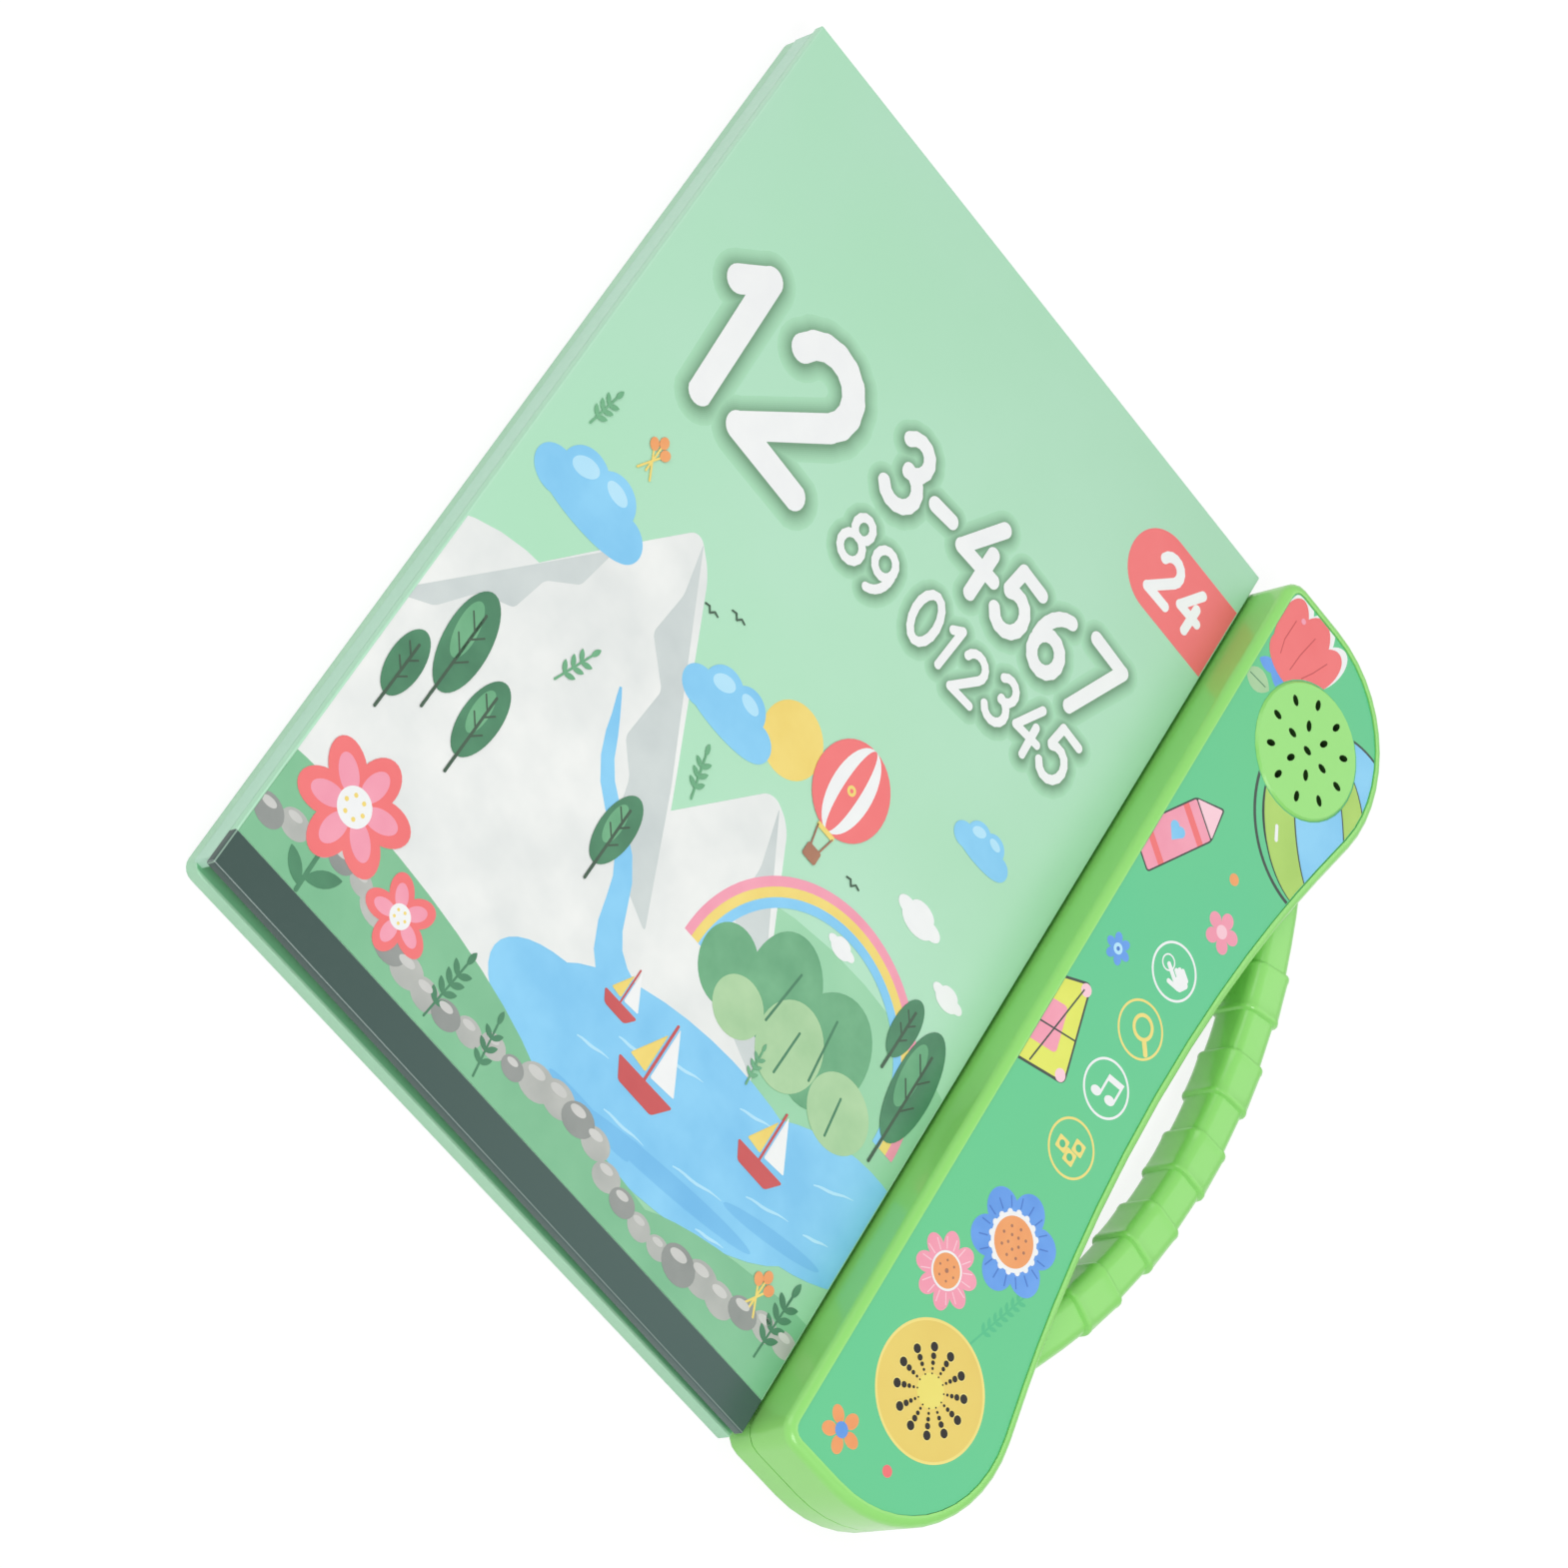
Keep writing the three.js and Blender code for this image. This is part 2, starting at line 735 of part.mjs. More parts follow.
function cellSolid(x, y0, y1, plusUp) {
  const body = cellLength - nubLength;
  const profile = [
    [0, 0],
    [cellRadius - 0.4, 0],
    [cellRadius, 0.4],
    [cellRadius, body - 0.4],
    [cellRadius - 0.4, body],
    [nubRadius, body],
    [nubRadius, cellLength],
    [0, cellLength],
  ];
  const geometry = new THREE.LatheGeometry(profile.map(([r, y]) => new THREE.Vector2(r, y)), 24);
  if (!plusUp) {
    geometry.rotateX(Math.PI);
  }
  geometry.translate(x, plusUp ? y1 - cellLength : y0 + cellLength, cellZ);
  return solidOf(geometry);
}

function platePlan(x, y) {
  const base = floorThickness + contactLift;
  return block(
    x - contactWidth / 2,
    x + contactWidth / 2,
    y - contactThickness / 2,
    y + contactThickness / 2,
    base,
    base + contactHeight,
  );
}

// A tapered coil standing on its plate and pointing along Y.
function springSolid(x, plateY, direction, length) {
  class Coil extends THREE.Curve {
    getPoint(t, target = new THREE.Vector3()) {
      const angle = 2 * Math.PI * springTurns * t;
      const radius = springWide + (springNarrow - springWide) * t;
      const z = cellZ + radius * Math.sin(angle);
      return target.set(x + radius * Math.cos(angle), plateY + direction * length * t, z);
    }
  }
  const section = new THREE.Shape(arcPoints(0, 0, springWire, 0, 2 * Math.PI * (5 / 6), 5));
  const geometry = new THREE.ExtrudeGeometry(section, { steps: 36, extrudePath: new Coil(), bevelEnabled: false });
  return platePlan(x, plateY).add(solidOf(geometry));
}

const cells = [];
const plates = [];
const springs = [];
for (let i = 0; i < 3; i += 1) {
  const x = bayX0 + fit + cellRadius + i * cellPitch;
  const plusUp = i % 2 === 0;
  const lowPlate = bayY0 + fit + contactThickness / 2;
  const highPlate = bayY1 - fit - contactThickness / 2;
  const nearContact = fit + contactThickness / 2;
  cells.push(cellSolid(x, lowPlate + nearContact, highPlate - nearContact, plusUp));
  plates.push(platePlan(x, plusUp ? highPlate : lowPlate));
  const springLength = highPlate - lowPlate - nearContact - cellLength - fit - springWire;
  springs.push(springSolid(x, plusUp ? lowPlate : highPlate, plusUp ? 1 : -1, springLength));
}

// Battery door with two hooks, and the screws.

function doorSolid() {
  let door = slab(roundedBox(doorX0, doorX1, doorY0, doorY1, doorCorner), 0, doorThickness);
  door = door.add(post(doorScrewX, doorScrewY, doorCupRadius, 0, doorCupHeight));
  for (const side of [-1, 1]) {
    const x = doorScrewX + side * cellPitch;
    const half = doorHookWidth / 2;
    const hookZ = floorThickness + fit;
    door = door.add(block(x - half, x + half, bayY0 + fit, bayY0 + fit + 1.2, 0.5, hookZ + 1));
    door = door.add(block(x - half, x + half, bayY0 - doorHookReach, bayY0 + fit + 1.2, hookZ, hookZ + 1));
  }
  const headRoom = doorScrewSink + doorHeadHeight + fit;
  return door
    .subtract(post(doorScrewX, doorScrewY, screwHead + fit, -1, headRoom))
    .subtract(post(doorScrewX, doorScrewY, screwShank + fit, -1, doorCupHeight + 1));
}

function screwSolid(x, y, headZ, headHeight, length) {
  const under = headZ + headHeight;
  const screw = turned(x, y, [
    [0, headZ],
    [screwHead - 0.4, headZ],
    [screwHead, headZ + 0.4],
    [screwHead, under],
    [screwShank, under],
    [screwShank, headZ + length - 1],
    [0.3, headZ + length],
    [0, headZ + length],
  ], 16);
  const arm = screwHead * 0.55;
  const slot = 0.35;
  const cross = block(x - arm, x + arm, y - slot, y + slot, headZ - 1, headZ + 0.8)
    .add(block(x - slot, x + slot, y - arm, y + arm, headZ - 1, headZ + 0.8));
  return screw.subtract(cross);
}

const object = new THREE.Group();
object.name = 'sound_book';
object.position.set(-handleReach / 2, -coverHeight / 2, 0);
const book = new THREE.Group();
book.name = 'book';
const soundBar = new THREE.Group();
soundBar.name = 'sound_bar';
object.add(book, soundBar);

function piece(parent, name, solid, colour, roughness, metalness = 0) {
  const material = new THREE.MeshStandardMaterial({ color: colour, roughness, metalness });
  const mesh = new THREE.Mesh(geometryOf(solid), material);
  mesh.name = name;
  parent.add(mesh);
}

piece(book, 'front_board', frontBoard, 0xade0bc, 0.45);
piece(book, 'spine_board', spineBoard, 0xb4e0c8, 0.45);
piece(book, 'back_board', backBoard, 0xa8dcb8, 0.45);
piece(book, 'page_block', pageBlock, 0xf1efe6, 0.8);
piece(book, 'touch_membrane', membrane, 0xe4dfc8, 0.5);
piece(soundBar, 'bottom_shell', bottomShell(), 0x8ad874, 0.3);
piece(soundBar, 'top_shell', topShell(), 0x96e07f, 0.3);
piece(soundBar, 'panel_overlay', overlay, 0x69cd9d, 0.35);
piece(soundBar, 'handle', handle, 0x8cdc74, 0.3);
piece(soundBar, 'speaker_frame', speakerFrame, 0x9a9da0, 0.4, 0.8);
piece(soundBar, 'speaker_cone', speakerCone, 0x26272a, 0.9);
piece(soundBar, 'speaker_magnet', speakerMagnet, 0x55575a, 0.4, 0.7);
piece(soundBar, 'main_board', mainBoardSolid, 0x2f7d4a, 0.5);
piece(soundBar, 'sound_chip', chipSolid, 0x1e1f22, 0.5);
piece(soundBar, 'capacitor', capacitorSolid, 0x3a4f9a, 0.4);
piece(soundBar, 'touch_board', touchBoardSolid, 0x2f7d4a, 0.5);
piece(soundBar, 'switch_body', switchBody, 0xb9bcc0, 0.35, 0.8);
piece(soundBar, 'switch_knob', switchKnob, 0x2c2e33, 0.5);
cells.forEach((solid, i) => piece(soundBar, `cell_${i + 1}`, solid, 0xc7cbd1, 0.35, 0.6));
plates.forEach((solid, i) => piece(soundBar, `plate_contact_${i + 1}`, solid, 0xd2d3d6, 0.3, 0.9));
springs.forEach((solid, i) => piece(soundBar, `spring_contact_${i + 1}`, solid, 0xd2d3d6, 0.3, 0.9));
piece(soundBar, 'battery_door', doorSolid(), 0x8ad874, 0.35);
const doorScrew = screwSolid(doorScrewX, doorScrewY, doorScrewSink, doorHeadHeight, doorScrewLength);
piece(soundBar, 'door_screw', doorScrew, 0xc9cbce, 0.3, 0.9);
shellScrews.forEach(([x, y], i) => {
  const screw = screwSolid(barX + x, y, screwSink, screwHeadHeight, screwLength);
  piece(soundBar, `shell_screw_${i + 1}`, screw, 0xc9cbce, 0.3, 0.9);
});

export default object;
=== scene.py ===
import json
import math

import bmesh
import bpy
from mathutils import Matrix, Vector

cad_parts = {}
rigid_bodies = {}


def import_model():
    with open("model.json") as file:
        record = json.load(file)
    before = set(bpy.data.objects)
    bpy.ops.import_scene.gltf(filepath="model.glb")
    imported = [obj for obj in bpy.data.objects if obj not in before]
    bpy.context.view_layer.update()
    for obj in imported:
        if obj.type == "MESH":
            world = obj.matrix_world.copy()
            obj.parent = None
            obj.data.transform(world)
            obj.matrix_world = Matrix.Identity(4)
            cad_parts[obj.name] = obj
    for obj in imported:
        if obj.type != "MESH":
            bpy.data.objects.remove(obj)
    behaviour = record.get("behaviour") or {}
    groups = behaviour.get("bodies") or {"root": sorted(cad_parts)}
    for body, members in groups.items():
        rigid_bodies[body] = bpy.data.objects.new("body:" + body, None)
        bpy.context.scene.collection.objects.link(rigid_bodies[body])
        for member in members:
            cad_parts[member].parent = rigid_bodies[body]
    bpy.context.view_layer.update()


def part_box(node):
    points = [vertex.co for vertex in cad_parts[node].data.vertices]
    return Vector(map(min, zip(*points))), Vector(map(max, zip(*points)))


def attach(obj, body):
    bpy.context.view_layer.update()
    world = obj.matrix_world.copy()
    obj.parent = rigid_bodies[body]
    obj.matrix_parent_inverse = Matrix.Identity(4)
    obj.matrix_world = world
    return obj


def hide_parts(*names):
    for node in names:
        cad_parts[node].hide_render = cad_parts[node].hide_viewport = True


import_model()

# Sizes that the pieces share, in metres. X runs from the spine to the handle, Y from the
# bottom edge of the book to its top edge, Z up out of the front cover.
MM = 0.001
COVER_LOW, COVER_HIGH = (Vector(corner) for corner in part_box("front_board"))
BACK_LOW, BACK_HIGH = (Vector(corner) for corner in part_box("back_board"))
PANEL_LOW, PANEL_HIGH = (Vector(corner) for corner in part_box("panel_overlay"))
HANDLE_LOW, HANDLE_HIGH = (Vector(corner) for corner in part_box("handle"))
SPINE_X = COVER_LOW.x
FOOT_Y = COVER_LOW.y
BOARD = 2.2 * MM
FORE_TOP = 8.35 * MM
SPINE_TOP = COVER_HIGH.z
COVER_WIDTH = COVER_HIGH.x - COVER_LOW.x
PANEL_TOP = PANEL_HIGH.z
PRINT_STEP = 0.02 * MM
HANDLE_ARC = 154.3
ANCHOR_SPAN = 146.0


def place(x, y, z=0.0):
    """A point given in millimetres from the spine and the foot of the book."""
    return Vector((SPINE_X + x * MM, FOOT_Y + y * MM, z))


# Colours are written as they look, in 0 to 255.

def linear(red, green, blue):
    """A colour written as it looks, turned into the shader's linear values."""
    def one(value):
        share = value / 255
        return share / 12.92 if share <= 0.04045 else ((share + 0.055) / 1.055) ** 2.4
    return (one(red), one(green), one(blue), 1.0)


def node(tree, kind, inputs=None, **settings):
    """Add one shader node, with its inputs and settings, and hand it back."""
    made = tree.nodes.new(kind)
    for name, value in settings.items():
        setattr(made, name, value)
    for key, value in (inputs or {}).items():
        if isinstance(value, bpy.types.NodeSocket):
            tree.links.new(value, made.inputs[key])
        else:
            made.inputs[key].default_value = value
    return made


def new_material(name):
    """A fresh material, with its node tree and its main shader."""
    made = bpy.data.materials.new(name)
    made.use_nodes = True
    tree = made.node_tree
    tree.nodes.clear()
    shader = tree.nodes.new("ShaderNodeBsdfPrincipled")
    output = tree.nodes.new("ShaderNodeOutputMaterial")
    tree.links.new(shader.outputs["BSDF"], output.inputs["Surface"])
    return made, tree, shader


def object_point(tree):
    """The point being shaded, in the piece's own coordinates."""
    return tree.nodes.new("ShaderNodeTexCoord").outputs["Object"]


def noise(tree, point, scale, detail=2.0, rough=0.5):
    """Soft random variation through the piece."""
    values = {"Vector": point, "Scale": scale, "Detail": detail, "Roughness": rough}
    return node(tree, "ShaderNodeTexNoise", values).outputs["Fac"]


def ramp(tree, value, low, high, out_low=0.0, out_high=1.0):
    """Carry a value from one range to another, held at both ends."""
    values = {"Value": value, "From Min": low, "From Max": high, "To Min": out_low, "To Max": out_high}
    return node(tree, "ShaderNodeMapRange", values).outputs["Result"]


def blend_colour(tree, factor, first, second):
    """Mix two colours by a share from 0 to 1."""
    made = node(tree, "ShaderNodeMix", {"Factor": factor}, data_type="RGBA")
    for slot, value in ((6, first), (7, second)):
        if isinstance(value, bpy.types.NodeSocket):
            tree.links.new(value, made.inputs[slot])
        else:
            made.inputs[slot].default_value = value
    return made.outputs[2]


def surface(name, light, dark, rough, grain=900.0, height=0.02, patch=30.0, coat=0.0, metal=0.0, spread=0.06):
    """A finish whose colour drifts between two tones and whose skin has a fine grain."""
    made, tree, shader = new_material(name)
    point = object_point(tree)
    drift = noise(tree, point, patch, 3.0)
    colour = blend_colour(tree, ramp(tree, drift, 0.3, 0.7), linear(*light), linear(*dark))
    tree.links.new(colour, shader.inputs["Base Color"])
    fine = noise(tree, point, grain, 2.0)
    wear = ramp(tree, fine, 0.3, 0.7, rough - spread, rough + spread)
    tree.links.new(wear, shader.inputs["Roughness"])
    bump = node(tree, "ShaderNodeBump", {"Height": fine, "Strength": height, "Distance": 0.2 * MM})
    tree.links.new(bump.outputs["Normal"], shader.inputs["Normal"])
    shader.inputs["Metallic"].default_value = metal
    shader.inputs["Coat Weight"].default_value = coat
    shader.inputs["Coat Roughness"].default_value = 0.12
    return made


def moulded_plastic(name, light, dark, rough=0.3):
    """Glossy moulded plastic with a faint drift in its colour."""
    return surface(name, light, dark, rough, grain=260.0, height=0.0, patch=14.0, coat=0.3, spread=0.012)


LIME = moulded_plastic("lime_plastic", (150, 224, 118), (145, 221, 112))
LIME_DEEP = moulded_plastic("lime_plastic_handle", (148, 224, 116), (142, 220, 110))
SPINE_WRAP = surface("laminated_spine", (183, 227, 203), (177, 223, 195), 0.34, grain=700.0, height=0.03,
                     patch=18.0)
STEEL = surface("plated_steel", (200, 202, 205), (186, 188, 192), 0.3, grain=2500.0, height=0.03, metal=1.0)
CIRCUIT = surface("circuit_laminate", (46, 124, 74), (38, 108, 62), 0.45, grain=1200.0)
BLACK = surface("black_satin", (38, 39, 43), (30, 31, 34), 0.45, grain=1500.0)
CONE = surface("coated_cone", (36, 37, 40), (28, 28, 31), 0.8, grain=600.0, height=0.2)
FILM = surface("membrane_film", (230, 224, 204), (222, 215, 193), 0.4)
SLEEVE = surface("capacitor_sleeve", (58, 80, 152), (50, 70, 140), 0.35)


# Modelling helpers.

def deselect():
    """Leave every object unselected."""
    if bpy.context.object and bpy.context.object.mode != "OBJECT":
        bpy.ops.object.mode_set(mode="OBJECT")
    bpy.ops.object.select_all(action="DESELECT")


def only(piece):
    """Select one piece and make it the active one."""
    deselect()
    piece.select_set(True)
    bpy.context.view_layer.objects.active = piece


def settle(piece):
    """Put the object's place into its mesh, so that the object sits at the origin."""
    only(piece)
    bpy.ops.object.transform_apply(location=True, rotation=True, scale=True)


def apply_modifier(piece, kind, **settings):
    """Add a modifier with its settings and apply it at once."""
    only(piece)
    made = piece.modifiers.new(kind.lower(), kind)
    for name, value in settings.items():
        setattr(made, name, value)
    bpy.ops.object.modifier_apply(modifier=made.name)


def round_edges(piece, width, test):
    """Bevel only the edges whose lowest and highest levels pass the test."""
    only(piece)
    bpy.ops.object.mode_set(mode="EDIT")
    bpy.ops.mesh.select_mode(type="EDGE")
    bpy.ops.mesh.select_all(action="DESELECT")
    mesh = bmesh.from_edit_mesh(piece.data)
    for edge in mesh.edges:
        levels = sorted(vertex.co.z for vertex in edge.verts)
        edge.select_set(test(levels[0], levels[1]))
    mesh.select_flush_mode()
    bmesh.update_edit_mesh(piece.data)
    bpy.ops.mesh.bevel(offset=width, segments=3)
    bpy.ops.object.mode_set(mode="OBJECT")


def smooth(piece, angle=35.0):
    """Shade a piece smooth, with creases where faces meet sharply."""
    only(piece)
    bpy.ops.object.shade_smooth_by_angle(angle=math.radians(angle))


def wear(piece, material):
    """Give a piece one material."""
    piece.data.materials.clear()
    piece.data.materials.append(material)


def box_piece(name, low, high):
    """A box between two opposite corners."""
    deselect()
    low, high = Vector(low), Vector(high)
    bpy.ops.mesh.primitive_cube_add(size=1.0, location=(low + high) / 2)
    piece = bpy.context.object
    piece.name = name
    piece.scale = high - low
    settle(piece)
    return piece


def dressed(cad_name, name, material, body, width=0.25 * MM, angle=30.0):
    """A finished copy of a moulded solid: welded, its edges eased and its curves smooth."""
    source = bpy.data.objects[cad_name]
    piece = bpy.data.objects.new(name, source.data.copy())
    bpy.context.scene.collection.objects.link(piece)
    piece.hide_render = False
    only(piece)
    bpy.ops.object.mode_set(mode="EDIT")
    bpy.ops.mesh.select_all(action="SELECT")
    bpy.ops.mesh.remove_doubles(threshold=0.002 * MM)
    bpy.ops.mesh.dissolve_limited(angle_limit=math.radians(0.5))
    bpy.ops.object.mode_set(mode="OBJECT")
    if width:
        apply_modifier(
            piece, "BEVEL", width=width, segments=2, limit_method="ANGLE", angle_limit=math.radians(angle),
            harden_normals=False, use_clamp_overlap=True,
        )
    smooth(piece)
    if width:
        apply_modifier(piece, "WEIGHTED_NORMAL", keep_sharp=True)
    wear(piece, material)
    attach(piece, body)
    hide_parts(cad_name)
    return piece


# Camera, lights and floor.

def set_camera():
    """The camera that was fitted to the photograph."""
    right = Vector((0.6089, 0.45932, 0.64674))
    down = Vector((0.696, -0.7005, -0.15778))
    ahead = Vector((0.38057, 0.5462, -0.74622))
    eye = Vector((-0.44182, -0.61481, 0.83188))
    turn = Matrix((right, -down, -ahead)).transposed().to_4x4()
    data = bpy.data.cameras.new("camera")
    data.sensor_width = 36.0
    data.lens = 5389.3 / 1569 * 36.0
    data.clip_end = 20.0
    camera = bpy.data.objects.new("camera", data)
    bpy.context.scene.collection.objects.link(camera)
    camera.matrix_world = Matrix.Translation(eye) @ turn
    bpy.context.scene.camera = camera


def soft_lamp(name, place_at, size, watts):
    """An area lamp that points at the book."""
    data = bpy.data.lights.new(name, "AREA")
    data.shape = "DISK"
    data.size = size
    data.energy = watts
    lamp = bpy.data.objects.new(name, data)
    bpy.context.scene.collection.objects.link(lamp)
    lamp.location = place_at
    lamp.rotation_euler = (-Vector(place_at)).to_track_quat("-Z", "Y").to_euler()


def set_world(strength):
    """A plain world: white behind the book, a soft grey light on it."""
    world = bpy.data.worlds.new("studio")
    world.use_nodes = True
    tree = world.node_tree
    tree.nodes.clear()
    path = tree.nodes.new("ShaderNodeLightPath")
    seen = node(tree, "ShaderNodeMath", {0: path.outputs["Is Camera Ray"],
                                         1: path.outputs["Is Transmission Ray"]},
                operation="MAXIMUM")
    back = ramp(tree, seen.outputs[0], 0.0, 1.0, strength, 1.0)
    sky = node(tree, "ShaderNodeBackground", {"Color": (1.0, 1.0, 1.0, 1.0), "Strength": back})
    output = tree.nodes.new("ShaderNodeOutputWorld")
    tree.links.new(sky.outputs[0], output.inputs["Surface"])
    bpy.context.scene.world = world


def set_floor():
    """A white floor that keeps the book's shadow."""
    deselect()
    bpy.ops.mesh.primitive_plane_add(size=8.0, location=(0, 0, 0))
    floor = bpy.context.object
    floor.name = "floor"
    settle(floor)
    made = bpy.data.materials.new("pale_floor")
    made.use_nodes = True
    tree = made.node_tree
    tree.nodes.clear()
    path = tree.nodes.new("ShaderNodeLightPath")
    pale = node(tree, "ShaderNodeBsdfDiffuse", {"Color": (0.16, 0.16, 0.16, 1.0)})
    glow = node(tree, "ShaderNodeEmission", {"Color": (1.0, 1.0, 1.0, 1.0), "Strength": 0.87})
    plain = node(tree, "ShaderNodeBsdfDiffuse", {"Color": (0.8, 0.8, 0.8, 1.0)})
    both = node(tree, "ShaderNodeAddShader", {0: pale.outputs[0], 1: glow.outputs[0]})
    seen = node(tree, "ShaderNodeMath", {0: path.outputs["Is Camera Ray"], 1: path.outputs["Is Glossy Ray"]},
                operation="MAXIMUM")
    choice = node(tree, "ShaderNodeMixShader", {0: seen.outputs[0], 1: plain.outputs[0], 2: both.outputs[0]})
    output = tree.nodes.new("ShaderNodeOutputMaterial")
    tree.links.new(choice.outputs[0], output.inputs["Surface"])
    wear(floor, made)


set_camera()
set_world(0.54)
set_floor()
soft_lamp("key_lamp", (0.15, -0.95, 1.5), 0.9, 12.0)
soft_lamp("spine_lamp", (-1.3, 0.1, 0.9), 1.2, 5.5)
soft_lamp("back_lamp", (0.9, 0.9, 1.3), 1.2, 3.5)


# The book.

def board_material():
    """Laminated print: pale green, a charcoal band at the foot, with painted highlights along the foot edge
    and the spine edge.
    """
    made, tree, shader = new_material("cover_laminate")
    point = object_point(tree)
    parts = node(tree, "ShaderNodeSeparateXYZ", {0: point})
    across = ramp(tree, parts.outputs["X"], SPINE_X, SPINE_X + COVER_WIDTH)
    ground = blend_colour(tree, across, linear(174, 226, 191), linear(171, 221, 187))
    drift = ramp(tree, noise(tree, point, 16.0, 3.0), 0.35, 0.65)
    ground = blend_colour(tree, drift, ground, linear(178, 225, 195))
    band = ramp(tree, parts.outputs["Y"], FOOT_Y + 8.45 * MM, FOOT_Y + 8.6 * MM, 1.0, 0.0)
    charcoal = blend_colour(tree, across, linear(60, 83, 77), linear(70, 95, 90))
    ground = blend_colour(tree, band, ground, charcoal)
    # Painted highlight: a thin paler grey line close to the cover's foot edge, standing for light caught on
    # the board's eased edge.
    foot_highlight_rise = ramp(tree, parts.outputs["Y"], FOOT_Y + 0.12 * MM, FOOT_Y + 0.2 * MM)
    foot_highlight_fall = ramp(tree, parts.outputs["Y"], FOOT_Y + 0.3 * MM, FOOT_Y + 0.42 * MM, 1.0, 0.0)
    painted_foot_highlight = node(tree, "ShaderNodeMath", {0: foot_highlight_rise, 1: foot_highlight_fall}, operation="MULTIPLY").outputs[0]
    ground = blend_colour(tree, painted_foot_highlight, ground, linear(128, 144, 139))
    # Painted highlight: a thin pale green line along the cover's spine edge, standing for light caught on the
    # board's eased edge.
    near = ramp(tree, parts.outputs["X"], SPINE_X + 0.1 * MM, SPINE_X + 0.2 * MM)
    far = ramp(tree, parts.outputs["X"], SPINE_X + 0.4 * MM, SPINE_X + 0.5 * MM, 0.4, 0.0)
    painted_spine_highlight = node(tree, "ShaderNodeMath", {0: near, 1: far}, operation="MULTIPLY").outputs[0]
    ground = blend_colour(tree, painted_spine_highlight, ground, linear(196, 233, 209))
    slope = (SPINE_TOP - FORE_TOP) / COVER_WIDTH
    fall = node(tree, "ShaderNodeMath", {0: parts.outputs["X"], 1: slope}, operation="MULTIPLY").outputs[0]
    level = node(tree, "ShaderNodeMath", {0: parts.outputs["Z"], 1: fall}, operation="ADD").outputs[0]
    under = SPINE_TOP + slope * SPINE_X - BOARD
    inside = ramp(tree, level, under + 0.02 * MM, under + 0.12 * MM, 1.0, 0.0)
    for axis, low, high in (("X", SPINE_X + 6 * MM, SPINE_X + COVER_WIDTH - 6 * MM),
                            ("Y", FOOT_Y + 6 * MM, -FOOT_Y - 6 * MM)):
        for edge_at, way in ((low, 1), (high, -1)):
            step = ramp(tree, parts.outputs[axis], edge_at, edge_at + way * 0.2 * MM)
            inside = node(tree, "ShaderNodeMath", {0: inside, 1: step}, operation="MULTIPLY").outputs[0]
    spots = node(tree, "ShaderNodeTexVoronoi", {"Vector": point, "Scale": 95.0, "Randomness": 0.0},
                 voronoi_dimensions="2D")
    spot = ramp(tree, spots.outputs["Distance"], 0.2, 0.23, 1.0, 0.0)
    lining = blend_colour(tree, spot, linear(206, 236, 216), linear(240, 248, 243))
    ground = blend_colour(tree, inside, ground, lining)
    tree.links.new(ground, shader.inputs["Base Color"])
    fine = noise(tree, point, 800.0)
    rough = ramp(tree, fine, 0.3, 0.7, 0.3, 0.4)
    tree.links.new(rough, shader.inputs["Roughness"])
    bump = node(tree, "ShaderNodeBump", {"Height": fine, "Strength": 0.03, "Distance": 0.2 * MM})
    tree.links.new(bump.outputs["Normal"], shader.inputs["Normal"])
    return made


def front_cover():
    """A tilted board with eased edges; its underside meets the spine wall closely."""
    piece = box_piece("front_cover", (SPINE_X, COVER_LOW.y, -BOARD),
                      (SPINE_X + COVER_WIDTH, COVER_HIGH.y, 0.0))
    round_edges(piece, 0.35 * MM, lambda low, high: low > -0.01 * MM or high - low > 1 * MM)
    for vertex in piece.data.vertices:
        share = (vertex.co.x - SPINE_X) / COVER_WIDTH
        vertex.co.z += SPINE_TOP + share * (FORE_TOP - SPINE_TOP)
    smooth(piece)
    wear(piece, board_material())
    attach(piece, "front_cover")
    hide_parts("front_board")
    return piece


def spine_wall():
    """The upright board of the spine, closed under the front cover."""
    low, high = (Vector(corner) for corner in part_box("spine_board"))
    piece = box_piece("spine_wall", (low.x, low.y, BACK_HIGH.z - 0.4 * MM),
                      (high.x, high.y, high.z + 0.22 * MM))
    round_edges(piece, 0.3 * MM, lambda low, high: high - low > 1 * MM)
    smooth(piece)
    wear(piece, SPINE_WRAP)
    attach(piece, "book_and_bar")
    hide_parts("spine_board")


def lined_board_material():
    """The back board: wrapped in the cover's green, its inner face painted a darker green as painted shade
    under the cover and pages.
    """
    made, tree, shader = new_material("back_board_wrap")
    point = object_point(tree)
    parts = node(tree, "ShaderNodeSeparateXYZ", {0: point})
    # Painted shade: the inner top face, away from the foot edge, is darker green to stand for the shade under
    # the cover and page block.
    inside = ramp(tree, parts.outputs["Z"], BACK_HIGH.z - 0.1 * MM, BACK_HIGH.z - 0.02 * MM)
    away = ramp(tree, parts.outputs["Y"], FOOT_Y + 0.5 * MM, FOOT_Y + 0.9 * MM)
    lining = node(tree, "ShaderNodeMath", {0: inside, 1: away}, operation="MULTIPLY").outputs[0]
    drift = ramp(tree, noise(tree, point, 20.0, 3.0), 0.35, 0.65)
    wrap = blend_colour(tree, drift, linear(176, 224, 190), linear(168, 219, 184))
    colour = blend_colour(tree, lining, wrap, linear(112, 182, 134))
    tree.links.new(colour, shader.inputs["Base Color"])
    fine = noise(tree, point, 800.0)
    tree.links.new(ramp(tree, fine, 0.3, 0.7, 0.32, 0.42), shader.inputs["Roughness"])
    bump = node(tree, "ShaderNodeBump", {"Height": fine, "Strength": 0.03, "Distance": 0.2 * MM})
    tree.links.new(bump.outputs["Normal"], shader.inputs["Normal"])
    return made


